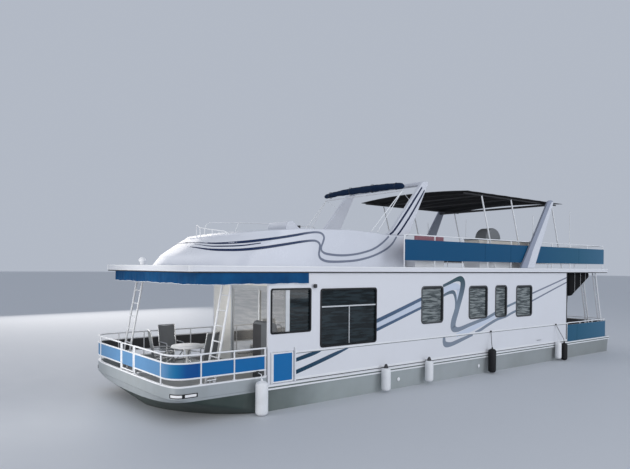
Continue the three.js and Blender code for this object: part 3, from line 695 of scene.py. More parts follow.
class Effects:
    """The effects that the finishes share."""

    _built: dict[str, bpy.types.NodeTree] = {}

    @classmethod
    def grime(cls) -> bpy.types.NodeTree:
        """Dirt in patches and in streaks that run down a wall."""
        if "grime" not in cls._built:
            takes = {"Color": "color", "Dirt": "color"}
            takes |= {"Amount": "value", "Scale": "value", "Streaks": "value"}
            effect = Effect("surface_grime", takes, {"Color": "color", "Mask": "value"})
            graph, put = effect.graph, effect.inside
            patches = graph.map(graph.noise(graph.place(), put["Scale"], 4), 0.45, 0.8, 0.0, 1.0)
            drawn = graph.add("Mapping", {"Vector": graph.place(), "Scale": (5.0, 5.0, 0.3)})
            runs = graph.map(graph.noise(drawn.outputs[0], put["Scale"], 3), 0.5, 0.85, 0.0, 1.0)
            both = graph.math("ADD", patches, graph.math("MULTIPLY", runs, put["Streaks"]))
            mask = graph.math("MULTIPLY", both, put["Amount"])
            effect.give("Mask", mask)
            effect.give("Color", graph.mix(mask, put["Color"], put["Dirt"]))
            cls._built["grime"] = effect.tree
        return cls._built["grime"]

    @classmethod
    def grain(cls) -> bpy.types.NodeTree:
        """Fine unevenness of gloss and height."""
        if "grain" not in cls._built:
            takes = {"Scale": "value", "Roughness": "value", "Spread": "value"}
            effect = Effect("fine_grain", takes, {"Roughness": "value", "Height": "value"})
            graph, put = effect.graph, effect.inside
            fine = graph.noise(graph.place(), put["Scale"], 4)
            broad = graph.noise(graph.place(), 1.7, 2)
            swing = graph.math("SUBTRACT", graph.math("ADD", fine, broad), 1.0)
            rough = graph.math("ADD", put["Roughness"], graph.math("MULTIPLY", swing, put["Spread"]))
            effect.give("Roughness", rough)
            effect.give("Height", fine)
            cls._built["grain"] = effect.tree
        return cls._built["grain"]

    @classmethod
    def weave(cls) -> bpy.types.NodeTree:
        """Crossing threads on a cloth's own map, which is in metres."""
        if "weave" not in cls._built:
            effect = Effect("thread_weave", {"Threads": "value"}, {"Height": "value", "Shade": "value"})
            graph, put = effect.graph, effect.inside
            across = graph.add("SeparateXYZ", {0: graph.add("TexCoord").outputs["UV"]})
            turn = graph.math("MULTIPLY", put["Threads"], math.tau)
            waves = [
                graph.math("SINE", graph.math("MULTIPLY", across.outputs[k], turn)) for k in ("X", "Y")
            ]
            both = graph.math("ADD", waves[0], waves[1])
            effect.give("Height", graph.map(both, -2.0, 2.0, 0.0, 1.0))
            cloud = graph.noise(graph.add("TexCoord").outputs["UV"], 2.2, 4)
            effect.give("Shade", graph.map(cloud, 0.3, 0.7, 0.0, 1.0))
            cls._built["weave"] = effect.tree
        return cls._built["weave"]


# Finishes


@dataclass(frozen=True)
class Finish:
    """A painted, moulded or bare surface with grime and fine grain.

    Attributes:
        name: The material's name.
        slot: The record's material slot that it belongs to; not used.
        color: Its colour, in linear light.
        roughness: Its roughness.
        metallic: How metallic it is.
        coat: How much clear coat it has.
        dirt: The colour of its grime.
        amount: How strong the grime is.
        streaks: How much of the grime runs down.
        spots: The scale of the grime.
        grain: The scale of the fine grain.
        relief: The strength of the grain's bump.
        depth: The depth of the grain's bump, in metres.
        spread: How far the roughness varies.
        gloss: How strongly it mirrors, 0.5 for most paints.
    """

    name: str
    slot: str
    color: Color
    roughness: float = 0.45
    metallic: float = 0.0
    coat: float = 0.0
    dirt: Color = (0.26, 0.24, 0.2)
    amount: float = 0.16
    streaks: float = 0.5
    spots: float = 1.3
    grain: float = 120.0
    relief: float = 0.08
    depth: float = 0.001
    spread: float = 0.12
    gloss: float = 0.5

    def material(self) -> bpy.types.Material:
        """The finish's material, built the first time that it is asked for."""
        return bpy.data.materials.get(self.name) or self.build()

    def tint(self, graph: Graph) -> object:
        """The colour before grime, as a value or a socket."""
        return (*self.color, 1.0)

    def height(self, graph: Graph, grain: bpy.types.Node) -> bpy.types.NodeSocket:
        """The height that the bump reads."""
        return grain.outputs["Height"]

    def build(self) -> bpy.types.Material:
        """Builds the material from the shared effects.

        Returns:
            The new material.
        """
        material = bpy.data.materials.new(self.name)
        material.use_nodes = True
        graph = Graph(material.node_tree)
        shader = material.node_tree.nodes["Principled BSDF"]
        feeds = {
            "Color": self.tint(graph), "Dirt": (*self.dirt, 1.0), "Amount": self.amount,
            "Scale": self.spots, "Streaks": self.streaks,
        }
        grime = graph.group(Effects.grime(), feeds)
        feeds = {"Scale": self.grain, "Roughness": self.roughness, "Spread": self.spread}
        grain = graph.group(Effects.grain(), feeds)
        feeds = {"Height": self.height(graph, grain), "Strength": self.relief, "Distance": self.depth}
        bump = graph.add("Bump", feeds)
        graph.feed(shader, "Base Color", grime.outputs["Color"])
        graph.feed(shader, "Roughness", grain.outputs["Roughness"])
        graph.feed(shader, "Normal", bump.outputs["Normal"])
        graph.feed(shader, "Metallic", self.metallic)
        graph.feed(shader, "Coat Weight", self.coat)
        shader.inputs["Specular IOR Level"].default_value = self.gloss
        self.finish_shader(graph, shader)
        material.diffuse_color = (*self.color, 1.0)
        return material

    def finish_shader(self, graph: Graph, shader: bpy.types.Node) -> None:
        """Sets what only some finishes have."""


@dataclass(frozen=True)
class Graded(Finish):
    """A finish whose colour changes along one of the piece's own axes.

    Attributes:
        along: The axis, X, Y or Z.
        start: Where the first stop lies on it, in metres.
        end: Where the last stop lies on it, in metres.
        stops: The share and the colour of each stop.
        waver: How far noise shifts the stops, in metres.
    """

    along: str = "Z"
    start: float = 0.0
    end: float = 1.0
    stops: tuple[tuple[float, Color], ...] = ()
    waver: float = 0.0

    def tint(self, graph: Graph) -> object:
        """The graded colour."""
        place = graph.place()
        value = graph.add("SeparateXYZ", {0: place}).outputs[self.along]
        if self.waver:
            shift = graph.map(graph.noise(place, 1.1, 4), 0.3, 0.7, -self.waver, self.waver)
            value = graph.math("ADD", value, shift)
        ramp = graph.add("ValToRGB", {"Fac": graph.map(value, self.start, self.end, 0.0, 1.0)})
        elements = ramp.color_ramp.elements
        for _ in self.stops[2:]:
            elements.new(0.5)
        for element, (share, color) in zip(elements, self.stops):
            element.position = share
            element.color = (*color, 1.0)
        return ramp.outputs["Color"]


@dataclass(frozen=True)
class Cloth(Finish):
    """A woven cloth, faded in clouds, with sheen.

    Attributes:
        threads: Threads in each metre.
        fade: The colour that it fades to.
        sheen: The weight of its sheen.
    """

    threads: float = 700.0
    fade: Color = (0.3, 0.3, 0.3)
    sheen: float = 0.25

    def tint(self, graph: Graph) -> object:
        """The cloth's colour, mixed with its faded one in clouds."""
        weave = graph.group(Effects.weave(), {"Threads": self.threads})
        share = graph.math("MULTIPLY", weave.outputs["Shade"], 0.45)
        return graph.mix(share, (*self.color, 1.0), (*self.fade, 1.0))

    def height(self, graph: Graph, grain: bpy.types.Node) -> bpy.types.NodeSocket:
        """The height of the threads."""
        return graph.group(Effects.weave(), {"Threads": self.threads}).outputs["Height"]

    def finish_shader(self, graph: Graph, shader: bpy.types.Node) -> None:
        """Adds the sheen."""
        shader.inputs["Sheen Weight"].default_value = self.sheen
        shader.inputs["Sheen Roughness"].default_value = 0.4


@dataclass(frozen=True)
class Pane(Finish):
    """Window glass over a darker room.

    Attributes:
        alpha: How much of what is behind it the glass hides.
        painted_reflection: The colour of the faint wavering bands in it, a painted reflection of wavy water.
        speckle: How much finer the bands of its painted reflection are broken up, as glitter on water is.
    """

    alpha: float = 1.0
    painted_reflection: Color = (0.1, 0.1, 0.1)
    speckle: float = 0.0

    def tint(self, graph: Graph) -> object:
        """The glass with faint level bands, a painted reflection of wavy water."""
        fine = 1.0 + self.speckle * 2.0
        drawn = graph.add("Mapping", {"Vector": graph.place(), "Scale": (1.2 * fine, 1.0, 11.0 * fine)})
        share = graph.map(graph.noise(drawn.outputs[0], 1.6, 5), 0.44, 0.60, 0.0, 1.0)
        return graph.mix(share, (*self.color, 1.0), (*self.painted_reflection, 1.0))

    def finish_shader(self, graph: Graph, shader: bpy.types.Node) -> None:
        """Lets some of the room show through."""
        shader.inputs["Alpha"].default_value = self.alpha


INK = (0.02, 0.02, 0.02)
WHITE_WALL = Finish(
    "white_wall", "white_paint", (0.73, 0.74, 0.78), 0.34, dirt=(0.42, 0.4, 0.36), amount=0.07, spots=0.7,
    grain=40.0, relief=0.03, gloss=0.4,
)
WHITE_TUBE = Finish(
    "white_tube", "white_paint", (0.82, 0.83, 0.85), 0.35, amount=0.06, grain=200.0, relief=0.04
)
GELCOAT = Finish(
    "cowl_gelcoat", "white_gelcoat", (0.68, 0.70, 0.76), 0.26, dirt=(0.45, 0.43, 0.4), amount=0.07, spots=0.6,
    grain=30.0, relief=0.02, coat=0.2, gloss=0.3,
)
DECK_WHITE = Finish(
    "deck_nonskid", "white_paint", (0.55, 0.56, 0.57), 0.7, amount=0.3, spots=1.8, streaks=0.0, grain=260.0,
    relief=0.5, depth=0.002,
)
# Graded along x: the steep darkening towards the bow is painted shade on the flared bottom under the knuckle;
# the grime is dirt.
HULL_PLATE_PAINTED_SHADE = Graded(
    "hull_plate_painted_shade", "hull_metal", (0.3, 0.33, 0.33), 0.4, 0.15, dirt=(0.16, 0.17, 0.15), amount=0.28,
    streaks=0.3, spots=0.8, grain=70.0, relief=0.1, gloss=0.25, along="X", start=-9.6, end=9.2, waver=0.25,
    stops=(
        (0.0, (0.30, 0.32, 0.32)), (0.55, (0.40, 0.43, 0.44)), (0.8, (0.36, 0.40, 0.40)),
        (0.87, (0.17, 0.20, 0.195)), (0.93, (0.055, 0.075, 0.07)), (1.0, (0.035, 0.05, 0.045)),
    ),
)
BULWARK_PLATE = Finish(
    "bulwark_plate", "hull_metal", (0.36, 0.39, 0.41), 0.42, 0.15, dirt=(0.2, 0.21, 0.18), amount=0.25,
    streaks=0.4, spots=1.2, grain=60.0, relief=0.08, gloss=0.3,
)
DECK_PLATE = Finish(
    "deck_plate", "hull_metal", (0.33, 0.34, 0.34), 0.7, amount=0.35, streaks=0.0, grain=220.0, relief=0.6,
    depth=0.002,
)
GROOVE = Finish("groove_plate", "hull_metal", (0.14, 0.17, 0.17), 0.5, amount=0.3, grain=60.0, gloss=0.2)
BLUE_BOARD = Finish(
    "blue_board", "blue_panel", (0.0097, 0.15, 0.40), 0.4, dirt=(0.04, 0.14, 0.3), amount=0.15, spots=2.2,
    grain=30.0, relief=0.04, gloss=0.12,
)
# Graded along x: painted shading across the boards round the bow's corner, darkest just aft of it and
# lightening to a painted highlight at the bow.
BOW_BOARD_PAINTED_SHADING = Graded(
    "bow_board_painted_shading", "blue_panel", (0.0078, 0.14, 0.38), 0.4, dirt=(0.04, 0.12, 0.28), amount=0.12, spots=2.2,
    grain=30.0, relief=0.04, gloss=0.12, along="X", start=8.7, end=9.52,
    stops=(
        (0.15, (0.0078, 0.14, 0.38)), (0.28, (0.0057, 0.072, 0.27)), (0.6, (0.0075, 0.085, 0.29)),
        (0.8, (0.012, 0.145, 0.33)), (0.93, (0.025, 0.18, 0.37)), (1.0, (0.12, 0.26, 0.46)),
    ),
)
UPPER_BOARD = Graded(
    "upper_board", "blue_panel", (0.0062, 0.078, 0.18), 0.35, dirt=(0.03, 0.09, 0.18), amount=0.12, spots=1.2,
    grain=30.0, relief=0.04, gloss=0.12, along="X", start=-9.5, end=2.6,
    stops=(
        (0.0, (0.05, 0.15, 0.25)), (0.2, (0.022, 0.11, 0.19)), (0.5, (0.0104, 0.082, 0.178)),
        (1.0, (0.0055, 0.075, 0.18)),
    ),
)
MAROON = Finish(
    "maroon_vinyl", "maroon_vinyl", (0.10, 0.016, 0.022), 0.45, dirt=INK, amount=0.15, spots=2.5, streaks=0.0,
    grain=220.0, relief=0.12, gloss=0.25,
)
BEIGE = Finish(
    "beige_laminate", "beige_laminate", (0.42, 0.38, 0.33), 0.45, amount=0.15, grain=120.0, relief=0.04
)
# Grey on the aft arch's legs: painted shade on their faces.
ARCH_PAINTED_SHADE = Finish(
    "arch_painted_shade", "white_paint", (0.30, 0.33, 0.41), 0.35, amount=0.05, grain=60.0, relief=0.03, gloss=0.3,
)
VALANCE_CLOTH = Cloth(
    "valance_cloth", "blue_cloth", (0.006, 0.055, 0.16), 0.8, dirt=INK, amount=0.15, relief=0.25,
    depth=0.0006, fade=(0.014, 0.13, 0.31), sheen=0.04, gloss=0.1,
)
BOOT_CLOTH = Cloth(
    "boot_cloth", "navy_cloth", (0.006, 0.019, 0.052), 0.8, dirt=INK, amount=0.12, relief=0.25, depth=0.0006,
    fade=(0.016, 0.036, 0.078), sheen=0.04, gloss=0.1,
)
CANOPY_CLOTH = Cloth(
    "canopy_cloth", "black_cloth", (0.008, 0.008, 0.009), 0.85, dirt=INK, amount=0.1, relief=0.25,
    depth=0.0006, fade=(0.016, 0.016, 0.017), sheen=0.0, gloss=0.1,
)
SLING = Cloth(
    "sling_mesh", "sling_cloth", (0.20, 0.21, 0.22), 0.75, amount=0.15, threads=400.0, relief=0.4,
    depth=0.0008, fade=(0.28, 0.29, 0.30), sheen=0.05, gloss=0.2,
)
ANODISED = Finish(
    "anodised_tube", "bright_tube", (0.62, 0.63, 0.64), 0.28, 0.9, amount=0.12, grain=300.0, relief=0.03,
)
WINDOW_FRAME = Finish(
    "window_frame", "door_frame", (0.075, 0.08, 0.085), 0.4, 0.3, dirt=INK, amount=0.1, grain=200.0,
    relief=0.05, gloss=0.3,
)
# Also used for dark strips that paint shadow: under the roof's edge, below the wall's foot, at the aft
# corners and on the blinds.
DARK_FRAME_AND_PAINTED_SHADOW = Finish(
    "dark_frame_and_painted_shadow", "black_plastic", (0.014, 0.015, 0.017), 0.4, dirt=INK, amount=0.1, grain=200.0, relief=0.05,
    gloss=0.2,
)
DOOR_METAL = Finish(
    "door_metal", "door_frame", (0.56, 0.58, 0.60), 0.4, 0.2, amount=0.12, grain=200.0, relief=0.05,
)
# The second colour of each pane is a painted reflection of wavy water, laid in level bands over the glass.
ROOM_GLASS = Pane(
    "room_glass", "tinted_glass", (0.080, 0.097, 0.102), 0.05, amount=0.05, grain=4.0, relief=0.02,
    spread=0.03, alpha=0.8, painted_reflection=(0.31, 0.34, 0.34), speckle=0.15, gloss=0.3,
)
SALOON_GLASS = Pane(
    "saloon_glass", "tinted_glass", (0.010, 0.014, 0.016), 0.04, dirt=INK, amount=0.1, grain=4.0, relief=0.02,
    spread=0.03, alpha=0.97, painted_reflection=(0.024, 0.036, 0.042), gloss=0.25,
)
WING_GLASS = Pane(
    "wing_glass_clear", "tinted_glass", (0.30, 0.29, 0.27), 0.04, amount=0.05, grain=4.0, relief=0.02,
    spread=0.03, alpha=0.16, painted_reflection=(0.34, 0.33, 0.31), gloss=0.2,
)
DOOR_GLASS = Pane(
    "door_glass", "tinted_glass", (0.78, 0.76, 0.72), 0.05, 0.8, amount=0.03, grain=4.0, relief=0.02,
    spread=0.02, alpha=0.94, painted_reflection=(0.94, 0.90, 0.84),
)
BLIND = Finish("blind_slat", "white_paint", (0.42, 0.43, 0.41), 0.6, amount=0.1, relief=0.03)
SIDING = Finish(
    "front_siding", "white_paint", (0.88, 0.86, 0.81), 0.5, amount=0.1, spots=1.4, grain=60.0, relief=0.06,
)
# Also used for the black backs of the rail and gate boards, which paint the shade on their inner faces.
BLACK_PLASTIC_AND_PAINTED_SHADE = Finish(
    "black_plastic", "black_plastic", (0.010, 0.010, 0.012), 0.45, dirt=INK, amount=0.08, grain=160.0,
    relief=0.1, gloss=0.2,
)
GREY_PLASTIC = Finish(
    "console_grey", "console_plastic", (0.17, 0.18, 0.19), 0.5, amount=0.12, grain=160.0, relief=0.1,
    gloss=0.3,
)
TABLE_WHITE = Finish(
    "table_white", "table_plastic", (0.90, 0.90, 0.90), 0.4, amount=0.03, streaks=0.0, grain=160.0,
    relief=0.05,
)
FENDER_WHITE = Finish(
    "fender_white", "white_vinyl", (0.80, 0.81, 0.83), 0.42, dirt=(0.3, 0.3, 0.26), amount=0.2, spots=3.0,
    grain=90.0, relief=0.08,
)
FENDER_BLACK = Finish(
    "fender_black", "black_rubber", (0.012, 0.012, 0.014), 0.55, dirt=INK, amount=0.2, spots=3.0, grain=90.0,
    relief=0.1, gloss=0.25,
)
ENGINE_BLACK = Finish(
    "engine_enamel", "engine_paint", (0.02, 0.02, 0.022), 0.5, 0.2, amount=0.4, grain=60.0, relief=0.2,
)
DRIVE_BLACK = Finish(
    "drive_enamel", "drive_paint", (0.02, 0.021, 0.023), 0.3, amount=0.2, relief=0.05, coat=0.3
)
PROPELLER = Finish("propeller_steel", "propeller_metal", (0.5, 0.5, 0.51), 0.25, 1.0, amount=0.2, relief=0.04)
LID_METAL = Finish(
    "hatch_lid", "deck_lid", (0.36, 0.37, 0.37), 0.6, 0.2, amount=0.3, streaks=0.0, grain=90.0, relief=0.6,
    depth=0.003,
)
LINE_INK = Graded(
    "side_stripe", "hull_metal", (0.1, 0.14, 0.2), 0.35, amount=0.0, relief=0.02, along="X", start=-6.2,
    end=6.4, gloss=0.15,
    stops=(
        (0.0, (0.20, 0.22, 0.28)), (0.25, (0.21, 0.24, 0.31)), (0.72, (0.085, 0.135, 0.22)),
        (1.0, (0.008, 0.045, 0.085)),
    ),
)
LOOP_INK = Graded(
    "loop_stripe", "hull_metal", (0.1, 0.14, 0.2), 0.35, amount=0.0, relief=0.02, along="Z", start=1.4,
    end=3.05, gloss=0.15,
    stops=(
        (0.0, (0.22, 0.26, 0.32)), (0.45, (0.20, 0.25, 0.31)), (0.8, (0.10, 0.14, 0.18)),
        (1.0, (0.045, 0.09, 0.105)),
    ),
)
PALE_INK = Finish("pale_stripe", "hull_metal", (0.58, 0.64, 0.75), 0.35, amount=0.0, relief=0.02, gloss=0.3)
NAVY_INK = Graded(
    "cowl_stripe", "navy_cloth", (0.03, 0.05, 0.12), 0.3, amount=0.0, relief=0.02, along="X", start=1.0,
    end=8.6, gloss=0.15,
    stops=(
        (0.0, (0.19, 0.215, 0.28)), (0.55, (0.19, 0.215, 0.28)), (0.63, (0.03, 0.05, 0.11)),
        (1.0, (0.010, 0.020, 0.065)),
    ),
)
ARCH_INK = Finish("arch_stripe", "navy_cloth", (0.008, 0.018, 0.06), 0.3, amount=0.0, relief=0.02, gloss=0.15)


def fit(piece: Piece, finish: Finish, body: str = BOAT, replaces: Sequence[str] = ()) -> Piece:
    """Gives a piece its finish and its body.

    Args:
        piece: The finished piece.
        finish: What it is made of.
        body: The body that it moves with.
        replaces: The nodes that it stands for.

    Returns:
        The same piece.
    """
    piece.data.materials.clear()
    piece.data.materials.append(finish.material())
    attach(piece, body)
    if replaces:
        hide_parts(*replaces)
    return piece


def dress(node: Piece, finish: Finish) -> None:
    """Gives a node of the frame its finish."""
    node.data.materials.clear()
    node.data.materials.append(finish.material())


def scale_map(piece: Piece, width: float, length: float) -> None:
    """Stretches a piece's own map, which runs from 0 to 1, to its cloth's size in metres."""
    for corner in piece.data.uv_layers[0].data:
        corner.uv = (corner.uv[0] * width, corner.uv[1] * length)


def cushion(name: str, low: Point, high: Point, finish: Finish) -> Piece:
    """A crowned and padded cushion between two corners.

    Args:
        name: Its name.
        low: Its lowest corner.
        high: Its highest corner.
        finish: What it is covered with.

    Returns:
        The new cushion.
    """
    inset = 0.014
    pad = block(name, [a + inset for a in low], [b - inset for b in high], 0.035, 4)
    fit(swelled(pad, 0.013), finish)
    return pad


# Hull and decks


def plan_ring(level: Sequence[float], stern: float, steps: int = 28) -> list[Point]:
    """A planform with a blunt superellipse bow and a square stern.

    Args:
        level: Its height, its rise at the sides, the x of its shoulder and of its bow, its half breadth
            and its power.
        stern: The x of its stern.
        steps: The number of points on each side of the bow.

    Returns:
        The ring, from the starboard stern round the bow to the port stern.
    """
    z, rise, shoulder, bow, half, power = level
    port = []
    for i in range(steps + 1):
        angle = math.pi / 2 * i / steps
        out = math.sin(angle) ** (2 / power)
        ahead = math.cos(angle) ** (2 / power)
        port.append((shoulder + (bow - shoulder) * ahead, half * out, z + rise * out * out))
    port.append((stern, half, z + rise))
    starboard = [(x, -y, z) for x, y, z in port[1:]]
    return starboard[::-1] + port


def ruled(low: Sequence[Point], high: Sequence[Point], share: float) -> list[Vector]:
    """A ring part of the way from one ring to another."""
    return [Vector(a).lerp(Vector(b), share) for a, b in zip(low, high)]


@dataclass
class Hull:
    """The welded hull, its decks, bulwark, rub rail and engine bay."""

    stern: float = -9.58
    bow: float = 9.55
    half: float = 2.44
    deck: float = 0.55
    rail_low: float = 0.50
    rail_high: float = 0.62
    rail_out: float = 0.04
    rail_start: float = 7.3
    wall_aft: float = -6.25
    wall_front: float = 6.38
    wall_bulkhead: float = 5.9
    bulwark_top: float = 0.832
    bulwark_thick: float = 0.06
    bulwark_end: float = 7.2
    bay_low: Point = (-9.1, -1.0, -0.25)
    bay_high: Point = (-7.7, 1.0, 0.508)
    ledge: float = 0.045
    levels: tuple = (
        (-0.45, 0.0, 4.8, 7.5, 0.9, 1.4), (-0.25, 0.0, 6.5, 8.45, 2.3, 1.45),
        (0.0, 0.0, 7.1, 9.08, 2.4, 1.75), (0.37, 0.13, 8.9, 9.5, 2.44, 4.5),
        (0.55, 0.0, 9.0, 9.55, 2.44, 5.5),
    )

    def build(self) -> None:
        """Builds and dresses all of the hull."""
        self.build_shell()
        self.build_deck()
        self.build_bulwark()
        self.build_rub_rail()
        self.build_bow_lights()
        self.build_fittings()

    def build_shell(self) -> None:
        """The plated bottom up to its knuckle, darkened towards the bow by painted shade, the light plating
        above it, and the drives' plates.
        """
        levels = [plan_ring(level, self.stern) for level in self.levels]
        rings = [ruled(a, b, k / 4) for a, b in zip(levels, levels[1:-1]) for k in range(4)]
        bottom = skin("hull_bottom", capped([*rings, levels[-2]]), around=True)
        low = [a - self.ledge - GAP for a in self.bay_low]
        cut(bottom, low, [self.bay_high[0] + self.ledge + GAP, self.bay_high[1] + self.ledge + GAP, 1.0])
        fit(soften(bottom, 0.012, 2, 30), HULL_PLATE_PAINTED_SHADE, replaces=["hull"])
        inner = []
        for z, rise, shoulder, bow, half, power in self.levels[:-3:-1]:
            inner.append(plan_ring((z, rise, shoulder, bow - 0.03, half - 0.03, power), self.stern + 0.03))
        topside = skin("hull_topside", [levels[-2], levels[-1], *inner], around=True, stacked=True)
        fit(topside, BULWARK_PLATE)
        pads = []
        for name, side in SIDES:
            y = side * 0.62
            pads.append(block(f"shield_{name}", (-9.62, y - 0.15, -0.26), (-9.57, y + 0.15, 0.26), 0.03, 3))
            pads.append(block(f"lug_{name}", (-9.76, y - 0.06, 0.2), (-9.56, y + 0.06, 0.24), 0.012))
        fit(joined("drive_shields", pads), DRIVE_BLACK)

    def build_deck(self) -> None:
        """The deck plate with a hole for the hatch, and the engine bay: a tray with a ledge at its mouth."""
        outline = [(x, y) for x, y, _ in plan_ring((0, 0, 9.0, 9.53, 2.42, 5.5), self.stern + 0.02)]
        deck = slab("deck_plate", outline, Axis.Z, self.deck - 0.02, self.deck)
        low = [a - self.ledge for a in self.bay_low]
        high = [self.bay_high[0] + self.ledge, self.bay_high[1] + self.ledge, self.bay_high[2]]
        fit(cut(deck, (low[0], low[1], 0.4), (high[0], high[1], 0.7)), DECK_PLATE)
        tray = block("engine_bay", low, high, 0)
        edit_where(tray, lambda place: place.z > high[2] - 0.001)
        bpy.ops.mesh.inset(thickness=self.ledge)
        depth = self.bay_low[2] - self.bay_high[2]
        bpy.ops.mesh.extrude_region_move(TRANSFORM_OT_translate={"value": (0, 0, depth)})
        leave_edit_mode()
        fit(soften(tray, 0.01), BULWARK_PLATE)

    def edge(self, inset: float, end: float) -> list[Point]:
        """The deck's edge round the bow, moved in, from starboard to port."""
        level = (0, 0, 9.0, self.bow - inset, self.half - inset, 5.5)
        return [(x, y) for x, y, _ in plan_ring(level, end)]

    def build_bulwark(self) -> None:
        """The low plated bulwark round the bow and its white cap."""
        path = self.edge(self.bulwark_thick / 2, self.bulwark_end)
        low, high = self.deck + GAP, self.bulwark_top - 0.02
        wall = band("bulwark_wall", path, self.bulwark_thick - 0.006, low, high, 0.006)
        fit(wall, BULWARK_PLATE, replaces=["bow_bulwark"])
        cap = band("bulwark_cap", path, self.bulwark_thick, self.bulwark_top - 0.04, self.bulwark_top, 0.014)
        fit(cap, WHITE_TUBE)

    def build_rub_rail(self) -> None:
        """The double white rub rail with its plated groove, and the white foot of the wall above it over a
        dark strip of painted shadow in the gap between them.
        """
        y = self.half + GAP + self.rail_out / 2
        x = self.stern - self.rail_out / 2 - GAP
        path = [(self.rail_start, -y), (x, -y), (x, y), (self.rail_start, y)]
        web = band("rub_rail_web", path, self.rail_out * 0.4, self.rail_low + 0.01, self.rail_high - 0.01)
        fit(web, GROOVE, replaces=["rub_rail"])
        for name, low, high in (
            ("lower", self.rail_low, self.rail_low + 0.042), ("upper", 0.574, self.rail_high)
        ):
            fit(band(f"rub_rail_{name}", path, self.rail_out, low, high, 0.010), WHITE_TUBE)
        for name, side in SIDES:
            front = self.wall_front if side > 0 else self.wall_bulkhead
            # The dark strip under the wall's foot paints the shadow in the gap above the rub rail.
            for label, out, z0, z1, edge, finish in (
                ("wall_foot", 2.458, 0.653, 0.716, 0.006, WHITE_TUBE),
                ("wall_foot_painted_shadow", 2.446, 0.634, 0.652, 0, DARK_FRAME_AND_PAINTED_SHADOW),
            ):
                ends = sorted((side * WALL_FACE, side * out))
                strip_low, strip_high = (self.wall_aft, ends[0], z0), (front, ends[1], z1)
                fit(block(f"{label}_{name}", strip_low, strip_high, edge), finish)

    def build_bow_lights(self) -> None:
        """A pair of docking lights in a dark frame at each corner of the bow."""
        path = self.edge(0.0, self.bulwark_end)
        for name, side in SIDES:
            start, end = sorted(nearest(path, spot) for spot in ((8.94, side * 2.43), (9.42, side * 2.2)))
            run = stretch(path, start, end)
            fit(band(f"bow_light_frame_{name}", run, 0.014, 0.585, 0.675, 0.004), DARK_FRAME_AND_PAINTED_SHADOW)
            half = (end - start) / 2
            lamps = []
            for k, first in enumerate((start + 0.03, start + half + 0.03)):
                part = stretch(path, first, first + half - 0.06)
                lamps.append(band(f"bow_lamp_{name}_{k}", part, 0.020, 0.602, 0.658, 0.006))
            fit(joined(f"bow_lamps_{name}", lamps), TABLE_WHITE)

    def build_fittings(self) -> None:
        """Cleats, an anchor roller and through-hull outlets."""
        for k, (x, z) in enumerate(((2.83, 0.26), (-0.83, 0.26))):
            profile = [(0, 0.012), (0.035, 0.012), (0.055, 0.0), (0.04, -0.006), (0, -0.006)]
            outlet = turned(f"outlet_{k + 1}", profile, (0, 0, 0), 20)
            place = Matrix.Translation((x, self.half + 0.004, z))
            outlet.data.transform(place @ Matrix.Rotation(-math.pi / 2, 4, "X"))
            fit(outlet, WHITE_TUBE)
        cleats = [(-4.28, 2.44, 0.83, "side"), (8.6, 2.41, 0.845, "top"), (8.6, -2.41, 0.845, "top")]
        cleats += [(-9.3, 2.2, 0.565, "top"), (-9.3, -2.2, 0.565, "top")]
        for k, (x, y, z, way) in enumerate(cleats):
            out = (0.05, 0.0) if way == "side" else (0.0, 0.05)
            row = [(x - 0.11, y + out[0], z + out[1]), (x + 0.11, y + out[0], z + out[1])]
            parts = [tube(f"cleat_bar_{k}", row, 0.014)]
            for j, s in enumerate((-0.04, 0.04)):
                foot = [(x + s, y, z - 0.01), (x + s, y + out[0], z + out[1])]
                parts.append(tube(f"cleat_foot_{k}_{j}", foot, 0.012))
            fit(joined(f"cleat_{k + 1}", parts), ANODISED)
        cheeks = []
        for k, y in enumerate((0.62, 0.70)):
            outline = [(9.3, 0.834), (9.5, 0.834), (9.545, 0.86), (9.545, 0.9), (9.3, 0.88)]
            cheeks.append(slab(f"roller_cheek_{k}", outline, Axis.Y, y, y + 0.01, 0.003))
        cheeks.append(tube("roller_wheel", [(9.51, 0.632, 0.872), (9.51, 0.698, 0.872)], 0.024, sides=16))
        fit(joined("anchor_roller", cheeks), ANODISED)


# Cabin


